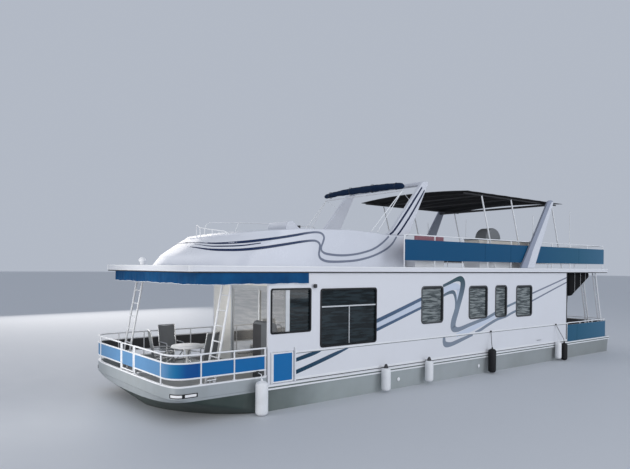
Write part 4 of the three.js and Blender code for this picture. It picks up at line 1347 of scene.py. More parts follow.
@dataclass
class Window:
    """One framed cabin window.

    Attributes:
        name: Its name.
        x0: Its aft edge.
        x1: Its forward edge.
        z0: Its sill.
        z1: Its head.
        side: 1 to port, -1 to starboard.
    """

    name: str
    x0: float
    x1: float
    z0: float
    z1: float
    side: int
    wall: float = 2.44
    thick: float = 0.06
    flange: float = 0.03
    corner: float = 0.09

    def frame(self, finish: Finish) -> None:
        """The frame round the opening, with a flange on the wall."""
        hole = rounded(self.x0 + 0.012, self.x1 - 0.012, self.z0 + 0.012, self.z1 - 0.012, self.corner)
        rim = rounded(
            self.x0 - self.flange, self.x1 + self.flange, self.z0 - self.flange, self.z1 + self.flange,
            self.corner + self.flange,
        )
        start, end = self.side * (self.wall + 0.0005), self.side * (self.wall + 0.016)
        outer = surround(f"{self.name}_flange", rim, hole, Axis.Y, start, end)
        reveal = rounded(self.x0 + 0.001, self.x1 - 0.001, self.z0 + 0.001, self.z1 - 0.001, 0.02)
        start, end = self.side * (self.wall - self.thick), self.side * (self.wall + 0.001)
        lining = surround(f"{self.name}_lining", reveal, hole, Axis.Y, start, end)
        fit(joined(f"{self.name}_frame", [outer, lining]), finish)

    def pane(self, finish: Finish, deep: float, replaces: Sequence[str] = ()) -> None:
        """The glass, at a depth inside the wall's face."""
        y = self.side * (self.wall - deep)
        outline = rounded(self.x0 + 0.008, self.x1 - 0.008, self.z0 + 0.008, self.z1 - 0.008, self.corner)
        ends = sorted((y, y + self.side * 0.006))
        fit(slab(f"{self.name}_pane", outline, Axis.Y, *ends), finish, replaces=replaces)

    def blind(self) -> None:
        """Slats behind the glass, and dark bars that paint the shadow that the wall casts on it."""
        pitch, lean = 0.034, 0.012
        y = self.side * (self.wall - 0.085)
        low, high = (self.x0 - 0.02, y - 0.001, self.z0 - 0.01), (self.x1 + 0.02, y + 0.001, self.z0 + 0.02)
        slat = block(f"{self.name}_slat", low, high, 0)
        for vertex in slat.data.vertices:
            vertex.co.y += self.side * (lean if vertex.co.z < self.z0 else -lean)
        count = int((self.z1 - self.z0 + 0.04) / pitch)
        fit(repeated(f"{self.name}_blind", slat, (0, 0, pitch), count), BLIND)
        # Dark bars that paint the wall's shadow on the blind, along its aft edge and its top.
        self.bar("painted_shadow_aft", (self.x0 + 0.01, self.z0 + 0.06), (self.x0 + 0.055, self.z1 - 0.03), DARK_FRAME_AND_PAINTED_SHADOW)
        self.bar("painted_shadow_top", (self.x0 + 0.05, self.z1 - 0.05), (self.x1 - 0.06, self.z1 - 0.01), DARK_FRAME_AND_PAINTED_SHADOW)

    def bar(self, name: str, low: Point, high: Point, finish: Finish) -> None:
        """A glazing bar given by its lowest and highest (x, z)."""
        ends = sorted((self.side * (self.wall - 0.026), self.side * (self.wall + 0.004)))
        corners = (low[0], ends[0], low[1]), (high[0], ends[1], high[1])
        fit(block(f"{self.name}_{name}", *corners, 0.004), finish)


@dataclass
class Stripe:
    """A painted stripe: a ribbon a hair proud of the surface that carries it.

    Attributes:
        name: Its name.
        ink: Its paint.
        route: Its (x, z, width) points.
        proud: How far its face stands off the surface.
    """

    name: str
    ink: Finish
    route: Sequence[tuple[float, float, float]]
    proud: float = 0.0022

    def build(self, surface: Callable[[float, float], float], side: int, front: float = 99.0) -> None:
        """Builds the ribbon on a surface.

        Args:
            surface: The y of the surface at an (x, z).
            side: 1 to port, -1 to starboard.
            front: The x past which there is no surface.
        """
        line = smooth_line([knot for knot in self.route if knot[0] < front], 9)
        edges: list[list[Point]] = [[], []]
        for i, knot in enumerate(line):
            along = line[min(i + 1, len(line) - 1)] - line[max(i - 1, 0)]
            across = Vector((-along.y, along.x)).normalized() * knot.z / 2
            for edge, sign in zip(edges, (-1, 1)):
                edge.append((knot.x + sign * across.x, knot.y + sign * across.y))
        rows = []
        for depth in (self.proud - 0.0018, self.proud):
            rows.append([[(x, side * (surface(x, z) + depth), z) for x, z in edge] for edge in edges])
        rings = [rows[0][0], rows[1][0], rows[1][1], rows[0][1]]
        fit(skin(f"{self.name}_{'port' if side > 0 else 'starboard'}", rings, stacked=True), self.ink)


SIDE_STRIPES = (
    Stripe("stripe_between", PALE_INK, ((3.72, 1.775, 0.15), (1.9, 2.325, 0.14))),
    Stripe(
        "stripe_loop_pale", PALE_INK,
        ((0.93, 2.66, 0.16), (0.5, 2.78, 0.2), (0.22, 2.72, 0.2), (0.24, 2.5, 0.14), (0.3, 2.3, 0.06)),
        0.0016,
    ),
    Stripe("stripe_low_pale", PALE_INK, ((0.3, 1.3, 0.12), (-0.4, 1.44, 0.16), (-1.68, 1.78, 0.12)), 0.0016),
    Stripe(
        "stripe_front_upper", LINE_INK,
        ((6.38, 1.12, 0.09), (6.0, 1.2, 0.1), (5.75, 1.25, 0.08), (5.6, 1.28, 0.03))
    ),
    Stripe(
        "stripe_front_lower", LINE_INK,
        (
            (6.38, 0.83, 0.1), (6.2, 0.875, 0.1), (5.85, 0.965, 0.1), (5.5, 1.06, 0.1), (5.1, 1.17, 0.09),
            (4.7, 1.275, 0.03),
        ),
    ),
    Stripe("stripe_upper", LINE_INK, ((3.72, 1.9, 0.105), (2.8, 2.175, 0.1), (1.9, 2.45, 0.095))),
    Stripe("stripe_lower", LINE_INK, ((3.72, 1.665, 0.085), (2.8, 1.935, 0.08), (1.9, 2.2, 0.075))),
    Stripe(
        "stripe_loop", LOOP_INK,
        (
            (0.96, 2.80, 0.085), (0.62, 2.905, 0.095), (0.34, 2.99, 0.12), (0.12, 3.0, 0.19),
            (0.02, 2.87, 0.23), (0.07, 2.62, 0.22), (0.2, 2.3, 0.215), (0.34, 1.98, 0.22), (0.45, 1.73, 0.23),
            (0.46, 1.54, 0.23), (0.3, 1.475, 0.16), (0.1, 1.49, 0.13), (-0.3, 1.575, 0.115),
            (-0.75, 1.665, 0.105), (-1.2, 1.745, 0.09), (-1.45, 1.815, 0.095), (-1.69, 1.885, 0.1),
        ),
        0.0028,
    ),
    Stripe(
        "stripe_hook", LOOP_INK,
        (
            (0.95, 2.51, 0.07), (0.78, 2.57, 0.085), (0.6, 2.61, 0.1), (0.46, 2.6, 0.12), (0.38, 2.48, 0.11),
            (0.35, 2.3, 0.08), (0.38, 2.1, 0.04),
        ),
    ),
    Stripe(
        "stripe_tail", LOOP_INK,
        (
            (0.89, 1.275, 0.11), (0.88, 1.14, 0.14), (0.8, 1.06, 0.17), (0.55, 1.05, 0.13),
            (0.22, 1.115, 0.12), (-0.17, 1.2, 0.10), (-0.5, 1.27, 0.08),
        ),
        0.0028,
    ),
    Stripe(
        "stripe_tail_aft", LOOP_INK,
        (
            (-0.62, 1.345, 0.03), (-0.88, 1.385, 0.09), (-1.35, 1.545, 0.095), (-1.79, 1.675, 0.09),
            (-2.05, 1.71, 0.07), (-2.3, 1.75, 0.07), (-2.6, 1.84, 0.08), (-2.9, 1.915, 0.08),
        ),
    ),
    Stripe("stripe_aft_low", LINE_INK, ((-3.86, 2.215, 0.055), (-5.0, 2.52, 0.05), (-6.24, 2.85, 0.045))),
    Stripe("stripe_aft_mid", LOOP_INK, ((-2.32, 2.07, 0.08), (-2.6, 2.135, 0.075), (-2.9, 2.205, 0.07))),
    Stripe("stripe_aft_high", LINE_INK, ((-3.86, 2.475, 0.055), (-5.0, 2.735, 0.05), (-6.24, 3.02, 0.045))),
)


@dataclass
class Cabin:
    """The cabin's walls, windows, bulkheads and doors."""

    aft: float = -6.25
    front: float = 5.9
    wing: float = 7.17
    wall: float = 2.44
    thick: float = 0.06
    top: float = 3.21
    deck: float = 0.55
    small_windows: tuple = (
        ("window_2", 0.97, 1.89, 1.75, 2.78), ("window_3", -1.23, -0.31, 1.78, 2.76),
        ("window_4", -2.31, -1.70, 1.77, 2.76), ("window_5", -3.83, -2.90, 1.73, 2.74),
    )
    side_front: float = 6.38
    seam: tuple = (1.29, 1.336)
    seam_shadow: tuple = (1.274, 1.2895)
    saloon: tuple = (3.73, 5.61, 1.38, 2.775)
    wing_window: tuple = (5.95, 7.08, 1.80, 2.80)
    doorway: tuple = (-1.3, 1.45, 0.6, 2.75)
    aft_doorway: tuple = (-0.2, 0.62, 0.6, 2.64)

    def build(self, nodes: dict[str, Piece]) -> None:
        """Builds and dresses all of the cabin.

        Args:
            nodes: The frame's nodes.
        """
        for node in ("cabin_wall_port", "cabin_wall_starboard", "aft_bulkhead"):
            dress(nodes[node], WHITE_WALL)
        self.build_windows()
        self.build_mouldings()
        self.build_front()
        self.build_aft_door()
        for stripe in SIDE_STRIPES:
            stripe.build(lambda x, z: self.wall, 1)
            stripe.build(lambda x, z: self.wall, -1, self.front)

    def build_windows(self) -> None:
        """The windows on both sides."""
        for name, side in SIDES:
            for label, x0, x1, z0, z1 in self.small_windows:
                window = Window(f"{label}_{name}", x0, x1, z0, z1, side)
                window.frame(WINDOW_FRAME)
                window.pane(ROOM_GLASS, 0.03)
                window.blind()
            x0, x1, z0, z1 = self.saloon
            window = Window(f"window_1_{name}", x0, x1, z0, z1, side, corner=0.05)
            window.frame(DARK_FRAME_AND_PAINTED_SHADOW)
            window.pane(SALOON_GLASS, 0.033, [f"saloon_pane_{name}"])
            window.bar("rail", (x0, 2.335), (x1, 2.37), DOOR_METAL)
            window.bar("post", (4.665, z0 + 0.02), (4.685, 2.335), DOOR_METAL)
        x0, x1, z0, z1 = self.wing_window
        wing = Window("wing_window", x0, x1, z0, z1, 1, corner=0.03)
        wing.frame(DARK_FRAME_AND_PAINTED_SHADOW)
        half = Window("wing_glass", x0 + 0.002, 6.57, z0, z1, 1, corner=0.02)
        half.pane(SALOON_GLASS, 0.033, ["wing_pane"])
        Window("wing_clear", 6.67, x1, z0, z1, 1, corner=0.02).pane(WING_GLASS, 0.033)
        wing.bar("post", (6.565, z0 + 0.012), (6.68, z1 - 0.012), DOOR_METAL)

    def build_mouldings(self) -> None:
        """The moulding along the wall's seam with its painted shadow line, a lamp, a dark strip painting the
        shade at the aft corner, and line rings.
        """
        for name, side in SIDES:
            ends = sorted((side * (self.wall + 0.0005), side * (self.wall + 0.016)))
            front = self.side_front if side > 0 else self.front
            low, high = (self.aft, ends[0], self.seam[0]), (front, ends[1], self.seam[1])
            fit(block(f"seam_strip_{name}", low, high, 0.006, 3), WHITE_TUBE)
            ends = sorted((side * (self.wall + 0.0005), side * (self.wall + 0.005)))
            low, high = (self.aft, ends[0], self.seam_shadow[0]), (front, ends[1], self.seam_shadow[1])
            fit(block(f"seam_shadow_{name}", low, high, 0), GREY_PLASTIC)
            # A dark strip that paints the shade at the wall's aft corner.
            low, high = (self.aft, ends[0], 0.65), (self.aft + 0.05, ends[1], self.top - 0.03)
            fit(block(f"aft_corner_{name}", low, high, 0), DARK_FRAME_AND_PAINTED_SHADOW)
        profile = [(0, -0.05), (0.04, -0.045), (0.045, 0), (0.04, 0.045), (0, 0.05)]
        lamp = turned("side_lamp", profile, (5.84, 2.5, 2.87))
        fit(lamp, BLACK_PLASTIC_AND_PAINTED_SHADE)
        fit(block("side_lamp_foot", (5.82, 2.44, 2.85), (5.86, 2.49, 2.89), 0.006), BLACK_PLASTIC_AND_PAINTED_SHADE)
        for k, x in enumerate((-1.41, -5.41)):
            profile = [(0, -0.03), (0.03, -0.02), (0.034, 0.0), (0.03, 0.02), (0, 0.03)]
            fit(turned(f"line_ring_{k + 1}", profile, (x, 2.475, 1.315)), BLACK_PLASTIC_AND_PAINTED_SHADE)

    def build_front(self) -> None:
        """The front bulkhead's siding and its two glass door leaves."""
        face, half = self.front, self.wall - self.thick
        y0, y1, z0, z1 = self.doorway
        boards = []
        for name, low, high in (("starboard", -half, y0 - 0.05), ("port", y1 + 0.05, half)):
            corners = (face, low, self.deck + 0.012), (face + 0.012, high, self.deck + 0.125)
            board = block(f"siding_{name}", *corners, 0.005)
            boards.append(repeated(f"siding_{name}", board, (0, 0, 0.118), 22))
        fit(joined("front_siding", boards), SIDING)
        low, high = self.deck + GAP, self.top - GAP
        wall = [
            block(f"front_bulkhead_{name}", (face - self.thick, a, c), (face, b, d), 0.004)
            for name, a, b, c, d in (
                ("port", y1, half - GAP, low, high), ("starboard", GAP - half, y0, low, high),
                ("head", y0, y1, z1, high), ("sill", y0, y1, low, z0),
            )
        ]
        fit(joined("front_wall", wall), SIDING, replaces=["front_bulkhead"])
        trim = [
            block(f"door_trim_{name}", (face - 0.004, a, c), (face + out, b, d), 0.005)
            for name, a, b, c, d, out in (
                ("port", y1 - 0.01, y1 + 0.06, z0, z1 + 0.05, 0.02),
                ("starboard", y0 - 0.06, y0 + 0.01, z0, z1 + 0.05, 0.02),
                ("head", y0 - 0.06, y1 + 0.06, z1 - 0.01, z1 + 0.06, 0.022),
            )
        ]
        fit(joined("front_door_trim", trim), DOOR_METAL)
        middle = (y0 + y1) / 2
        for name, a, b, c, d, body, node in (
            ("fixed_leaf", 0.029, 0.004, y0 + 0.002, middle + 0.03, BOAT, "front_door_fixed"),
            ("sliding_leaf", 0.058, 0.035, middle - 0.03, y1 - 0.006, "front_door", "front_door_slider"),
        ):
            self.leaf(name, face - a, face - b, c, d, body, node)

    def leaf(self, name: str, x0: float, x1: float, y0: float, y1: float, body: str, node: str) -> None:
        """A framed glass door leaf.

        Args:
            name: The leaf's name.
            x0: Its aft face.
            x1: Its forward face.
            y0: Its starboard edge.
            y1: Its port edge.
            body: The body that it moves with.
            node: The node that it stands for.
        """
        z0, z1 = self.doorway[2] + 0.008, self.doorway[3] - 0.008
        outer = rounded(y0, y1, z0, z1, 0.004, 2)
        inner = rounded(y0 + 0.06, y1 - 0.06, z0 + 0.06, z1 - 0.06, 0.01, 2)
        fit(surround(f"{name}_frame", outer, inner, Axis.X, x0, x1), DOOR_METAL, body, [node])
        middle = (x0 + x1) / 2
        low, high = (middle - 0.003, y0 + 0.055, z0 + 0.055), (middle + 0.003, y1 - 0.055, z1 - 0.055)
        fit(block(f"{name}_glass", low, high, 0), DOOR_GLASS, body)

    def build_aft_door(self) -> None:
        """The hinged aft door with its window and handle."""
        y0, y1, z0, z1 = self.aft_doorway
        y0, y1, z0, z1 = y0 + 0.008, y1 - 0.008, z0 + 0.008, z1 - 0.008
        outline = rounded(y0, y1, z0, z1, 0.01, 4)
        inner = rounded(y0 + 0.13, y1 - 0.13, 1.45, z1 - 0.16, 0.05, 4)
        panel = surround("aft_door_panel", outline, inner, Axis.X, self.aft + 0.01, self.aft + 0.05)
        fit(panel, WHITE_WALL, "aft_door", ["aft_door"])
        low, high = (self.aft + 0.026, y0 + 0.125, 1.445), (self.aft + 0.032, y1 - 0.125, z1 - 0.155)
        fit(block("aft_door_glass", low, high, 0), SALOON_GLASS, "aft_door")
        x, y = self.aft - 0.03, y0 + 0.06
        handle = tube("aft_door_handle", [(self.aft + 0.012, y, 1.3), (x, y, 1.3), (x, y + 0.12, 1.3)], 0.01)
        fit(handle, ANODISED, "aft_door")


# Roof, valance and cowl


@dataclass
class Roof:
    """The roof deck with its fascia, and the cloth valance under its front overhang."""

    aft: float = -9.38
    bow: float = 9.17
    half: float = 2.5
    low: float = 3.21
    high: float = 3.35
    corner: float = 0.11
    well: tuple = (-8.05, -6.65, -2.2, -1.42)
    valance_top: float = 3.19
    valance_low: float = 2.93
    valance_bow: float = 8.96
    valance_out: float = 2.48
    valance_corner: float = 0.12
    valance_end: float = 6.02

    def outline(self, inset: float, steps: int = 10) -> list[Point]:
        """The roof's outline, moved in."""
        radius = self.corner - inset
        x, y = self.bow - self.corner, self.half - self.corner
        return [
            (self.aft + inset, inset - self.half), *arc(x, -y, radius, -90, 0, steps),
            *arc(x, y, radius, 0, 90, steps), (self.aft + inset, self.half - inset),
        ]

    def build(self) -> None:
        """Builds and dresses the roof and the valance."""
        roof = slab("roof_deck", self.outline(0.008), Axis.Z, self.low, self.high - 0.004)
        x0, x1, y0, y1 = self.well
        cut(roof, (x0, y0, self.low - 0.05), (x1, y1, self.high + 0.05))
        fit(soften(roof, 0.016, 3, 50), WHITE_WALL, replaces=["roof"])
        path = self.outline(0.008)
        fit(band("roof_edge", path, 0.016, self.high - 0.035, self.high, 0.007), WHITE_TUBE)
        fit(band("roof_bead", path, 0.016, self.low + 0.012, self.low + 0.034, 0.006), WHITE_TUBE)
        shadow = band("roof_shadow_gap", self.outline(0.03), 0.02, self.low - 0.022, self.low - 0.001)
        fit(shadow, DARK_FRAME_AND_PAINTED_SHADOW)
        self.build_floor()
        self.build_valance()
        profile = [(0, 0.2), (0.05, 0.19), (0.085, 0.15), (0.095, 0.1), (0.06, 0.05), (0.05, 0.0), (0, 0)]
        fit(turned("searchlight", profile, (8.95, -0.52, self.high)), WHITE_TUBE)

    def build_floor(self) -> None:
        """The non-slip covering of the upper deck, in two strips beside the stairwell."""
        z = self.high
        aft = block("upper_floor_aft", (-8.95, -1.38, z), (-6.6, 2.3, z + 0.004), 0)
        middle = block("upper_floor", (-6.6, -2.3, z), (1.8, 2.3, z + 0.004), 0)
        fit(joined("upper_floor_cover", [middle, aft]), DECK_WHITE)

    def valance_path(self) -> list[Point]:
        """The valance's plan path, from starboard round the front to port."""
        y, x, corner = self.valance_out - 0.0125, self.valance_bow, self.valance_corner
        path = [(self.valance_end, -y), *arc(x - corner, corner - y, corner, -90, 0, 8)]
        return path + [*arc(x - corner, y - corner, corner, 0, 90, 8), (self.valance_end, y)]

    def build_valance(self) -> None:
        """The hung cloth, which waves along its lower edge and is laced at its upper one."""
        path = self.valance_path()
        whole = lengths(path)[-1]
        height, columns, rows = self.valance_top - self.valance_low, 360, 8
        rings = []
        for j in range(rows + 1):
            down = j / rows
            ring = []
            for i in range(columns + 1):
                s = whole * i / columns
                here, ahead = at(path, max(s - 0.02, 0)), at(path, min(s + 0.02, whole))
                along = (ahead - here).normalized()
                wave = 0.007 * math.sin(s * 7.3) + 0.005 * math.sin(s * 17.0 + 1.3)
                wave += 0.004 * math.sin(s * 31 + 0.6)
                out = wave * (0.25 + down)
                spot = at(path, s) + Vector((along.y, -along.x)) * out
                hem = 0.012 * abs(math.sin(s * math.pi / 0.42)) + 0.006 * math.sin(s * 5.1)
                ring.append((spot.x, spot.y, self.valance_top - down * (height - hem * down)))
            rings.append(ring)
        cloth = skin("valance_cloth_sheet", rings, closed=False)
        scale_map(cloth, whole, height)
        fit(cloth, VALANCE_CLOTH, replaces=["valance"])
        fit(tube("valance_hem", rings[-1][::3], 0.006, sides=6), WHITE_TUBE)
        track = tube("valance_track", lift(path, self.low - 0.012), 0.010, sides=8)
        fit(track, WHITE_TUBE)


@dataclass
class Cowl:
    """The raised bridge cowl: a raked round nose, low sides and an open cockpit."""

    aft: float = 1.85
    half: float = 1.75
    wall: float = 0.13
    base: float = 3.3503
    sole: float = 3.42
    cockpit: float = 5.5
    rim: float = 0.035
    levels: tuple = (
        (3.3503, 7.0, 8.73, 1.75, 2.1), (3.6, 6.85, 8.52, 1.75, 2.1), (3.9, 6.5, 8.05, 1.74, 2.2),
        (4.42, 5.7, 7.1, 1.71, 2.4),
    )
    sheer: tuple = (
        (1.8, 4.28), (2.7, 4.28), (4.0, 4.35), (5.75, 4.3), (6.8, 4.205), (7.6, 4.11), (8.1, 4.0),
        (8.4, 3.88), (9.0, 3.8),
    )

    def top(self, x: float) -> float:
        """The sheer line's height at an x."""
        for (xa, za), (xb, zb) in zip(self.sheer, self.sheer[1:]):
            if x <= xb:
                return za + (zb - za) * max(0.0, (x - xa) / (xb - xa))
        return self.sheer[-1][1]

    def side(self, x: float, z: float) -> float:
        """The half breadth of the outer wall at an (x, z)."""
        low, high = 0.0, 90.0
        for _ in range(24):
            middle = (low + high) / 2
            if self.outer_point(middle, 0.0, z).x > x:
                low = middle
            else:
                high = middle
        return self.outer_point(high, 0.0, z).y

    def outer_point(self, nose: float, run: float, z: float) -> Vector:
        """A point of the outer wall at a height.

        Args:
            nose: The angle round the nose, from 0 at its tip to 90 degrees at the shoulder.
            run: The share of the way from the shoulder to the aft end.
            z: The height.

        Returns:
            The point on the port side.
        """
        pairs = zip(self.levels, self.levels[1:])
        low, high = next(((a, b) for a, b in pairs if z <= b[0]), self.levels[-2:])
        angle = math.radians(nose)
        ends = []
        for height, shoulder, bow, half, power in (low, high):
            x = shoulder + (bow - shoulder) * max(math.cos(angle), 0.0) ** (2 / power)
            ends.append(Vector((x + (self.aft - x) * run, half * math.sin(angle) ** (2 / power), height)))
        return ends[0].lerp(ends[1], (z - low[0]) / (high[0] - low[0]))

    def column(self, nose: float, run: float) -> list[Vector]:
        """One section of the cowl, up its outer wall, over its rim and down into the cockpit."""
        points = []
        for k in range(13):
            z = self.base
            for _ in range(8):
                spot = self.outer_point(nose, run, z)
                reach = self.top(spot.x) - self.rim - self.base
                z = self.base + reach * k / 12
            points.append(spot)
        edge = points[-1]
        corner = 0.25
        if run > 0:
            x = self.cockpit - corner + (self.aft - self.cockpit + corner) * run
            inner = Vector((x, self.half - self.wall, 0))
        else:
            front = [(self.cockpit, 0.0), (self.cockpit, self.half - self.wall - corner)]
            front += arc(self.cockpit - corner, self.half - self.wall - corner, corner, 0, 90, 6)
            spot = at(front, lengths(front)[-1] * nose / 90)
            inner = Vector((spot.x, spot.y, 0))
        way = Vector((inner.x - edge.x, inner.y - edge.y, 0))
        step = way.normalized() * self.rim
        for turn in (30, 60, 90):
            a = math.radians(turn)
            spot = edge + step * (1 - math.cos(a)) + Vector((0, 0, self.rim * math.sin(a)))
            points.append(spot)
        start = points[-1]
        for k in range(1, 7):
            spot = start.lerp(Vector((inner.x, inner.y, start.z)), k / 6)
            ahead = min(max((spot.x - self.cockpit) / 0.9, 0.0), 1.0)
            crown = 0.05 * ahead * (1 - (spot.y / self.half) ** 2)
            spot.z = self.top(spot.x) + crown * math.sin(math.pi * min(k / 6, 1) * 0.9)
            points.append(spot)
        lip = points[-1]
        lip.z = self.top(inner.x)
        for turn in (45, 90):
            a = math.radians(turn)
            drop = Vector((0, 0, -self.rim * 0.4 * (1 - math.cos(a))))
            points.append(lip + step * 0.4 * math.sin(a) + drop)
        last = points[-1]
        points.append(Vector((last.x, last.y, self.sole)))
        points.append(Vector((last.x, last.y, self.base)))
        return points

    def build(self) -> None:
        """Builds and dresses the cowl, its sole and its stripes."""
        stations = [(90.0, run) for run in spaced(1, 0, 26)[:-1]] + [(a, 0.0) for a in spaced(90, 0, 34)]
        port = [self.column(nose, run) for nose, run in stations]
        starboard = [[Vector((p.x, -p.y, p.z)) for p in column] for column in port[:-1]]
        columns = port + starboard[::-1]
        rings = [[column[k] for column in columns] for k in range(len(port[0]))]
        shell = skin("cowl_shell", rings, stacked=True)
        for end in (1, -1):
            edit_where(shell, lambda p: abs(p.x - self.aft) < 0.004 and p.y * end > 0)
            bpy.ops.mesh.edge_face_add()
            leave_edit_mode()
        edit_all(shell)
        bpy.ops.mesh.normals_make_consistent(inside=False)
        leave_edit_mode()
        fit(soften(shell, angle=40), GELCOAT, replaces=["cowl"])
        y = self.half - self.wall - 0.01
        low, high = (self.aft + 0.02, -y, self.base), (self.cockpit - 0.02, y, self.sole)
        fit(block("cockpit_sole", low, high, 0.004), DECK_WHITE)
        self.build_stripes()

    def build_stripes(self) -> None:
        """The two lines that sweep from the nose along the side and up the arch."""
        upper = (
            (8.03, 3.92, 0.02), (7.9, 3.89, 0.035), (7.68, 3.885, 0.045), (7.21, 3.93, 0.06),
            (6.5, 4.03, 0.06), (5.89, 4.13, 0.06), (5.51, 4.2, 0.055), (5.2, 4.235, 0.05),
            (5.02, 4.205, 0.055), (4.95, 4.11, 0.06), (4.99, 3.98, 0.055), (5.05, 3.86, 0.055),
            (5.03, 3.75, 0.055), (4.86, 3.68, 0.06), (4.37, 3.65, 0.06), (3.86, 3.69, 0.055),
            (3.4, 3.78, 0.055), (3.09, 3.88, 0.055), (2.77, 4.05, 0.055), (2.52, 4.235, 0.05),
        )
        lower = (
            (8.18, 3.81, 0.03), (8.04, 3.745, 0.045), (7.83, 3.72, 0.055), (7.4, 3.73, 0.06),
            (6.86, 3.79, 0.065), (6.27, 3.88, 0.065), (5.77, 3.96, 0.06), (5.39, 4.01, 0.055),
            (5.2, 4.0, 0.055), (5.1, 3.92, 0.06), (5.11, 3.79, 0.06), (5.13, 3.65, 0.06), (5.05, 3.54, 0.065),
            (4.79, 3.48, 0.065), (4.23, 3.49, 0.06), (3.71, 3.54, 0.06), (3.17, 3.66, 0.055),
            (2.69, 3.84, 0.055), (2.4, 4.02, 0.055), (2.2, 4.235, 0.05),
        )
        middle = (
            (8.05, 3.87, 0.015), (7.95, 3.82, 0.025), (7.78, 3.81, 0.03), (7.37, 3.83, 0.03),
            (6.9, 3.9, 0.02),
        )
        for _, side in SIDES:
            for label, route in (("upper", upper), ("lower", lower), ("middle", middle)):
                Stripe(f"cowl_stripe_{label}", NAVY_INK, route, 0.0045).build(self.side, side)


# Bridge and arches


def raked_leg(foot: Point, foot_length: float, head: Point, head_length: float) -> list[Point]:
    """The side outline of a raked arch leg, from its (x, z) foot to its (x, z) head, which is rounded."""
    corners = [(foot[0] - foot_length, foot[1]), tuple(foot), tuple(head), (head[0] - head_length, head[1])]
    return eased(corners, 0.12, (2, 3))


@dataclass
class Arches:
    """The forward arch on the cowl and the aft arch over the upper deck."""

    base: float = 4.2803
    top: float = 5.98
    leg_out: float = 1.70
    leg_thick: float = 0.13
    aft_in: float = 2.405
    aft_out: float = 2.495
    aft_top: float = 5.79
    roof: float = 3.3503

    def legs(
        self, name: str, outline: Sequence[Point], inner: float, outer: float, edge: float
    ) -> list[Piece]:
        """One leg on each side between two half breadths."""
        return [
            slab(f"{name}_{label}", outline, Axis.Y, *sorted((side * inner, side * outer)), edge=edge)
            for label, side in SIDES
        ]

    def build(self) -> None:
        """Builds and dresses both arches."""
        outline = raked_leg((2.43, self.base), 0.77, (1.02, self.top), 0.27)
        flare = [(2.62, self.base), (2.47, 4.33), (2.36, 4.41)]
        outline[1:2] = flare
        parts = self.legs("forward_leg", outline, self.leg_out - self.leg_thick, self.leg_out, 0.025)
        y = self.leg_out - 0.02
        low, high = (0.77, -y, self.top - 0.12), (1.0, y, self.top - 0.004)
        parts.append(block("forward_crossbar", low, high, 0.045, 4))
        fit(joined("forward_arch_frame", parts), GELCOAT, replaces=["forward_arch"])
        outline = raked_leg((-3.1, self.roof), 0.82, (-4.82, self.aft_top), 0.33)
        parts = self.legs("aft_leg", outline, self.aft_in, self.aft_out - 0.008, 0.018)
        # The aft legs' grey is painted shade; the rib beside them stays white.
        fit(joined("aft_arch_frame", parts), ARCH_PAINTED_SHADE, replaces=["aft_arch"])
        rib = eased([(-3.9, 3.36), (-3.47, 3.36), (-3.8, 3.98), (-4.99, 5.74), (-5.12, 5.74)], 0.04)
        parts = self.legs("aft_rib", rib, self.aft_out - 0.012, self.aft_out, 0.004)
        fit(joined("aft_arch_rib", parts), GELCOAT)
        y = self.aft_in + 0.01
        fit(block("aft_crossbar", (-4.98, -y, 5.59), (-4.78, y, 5.65), 0.02, 3), BLACK_PLASTIC_AND_PAINTED_SHADE)
        fore = (
            (2.46, 4.292, 0.05), (2.28, 4.42, 0.065), (1.83, 4.9, 0.07), (1.37, 5.44, 0.065),
            (1.08, 5.78, 0.05),
        )
        rear = (
            (2.14, 4.292, 0.05), (2.0, 4.42, 0.06), (1.6, 4.87, 0.06), (1.17, 5.42, 0.055), (0.97, 5.7, 0.04),
        )
        for _, side in SIDES:
            for label, route in (("fore", fore), ("rear", rear)):
                Stripe(f"arch_stripe_{label}", ARCH_INK, route).build(lambda x, z: self.leg_out, side)


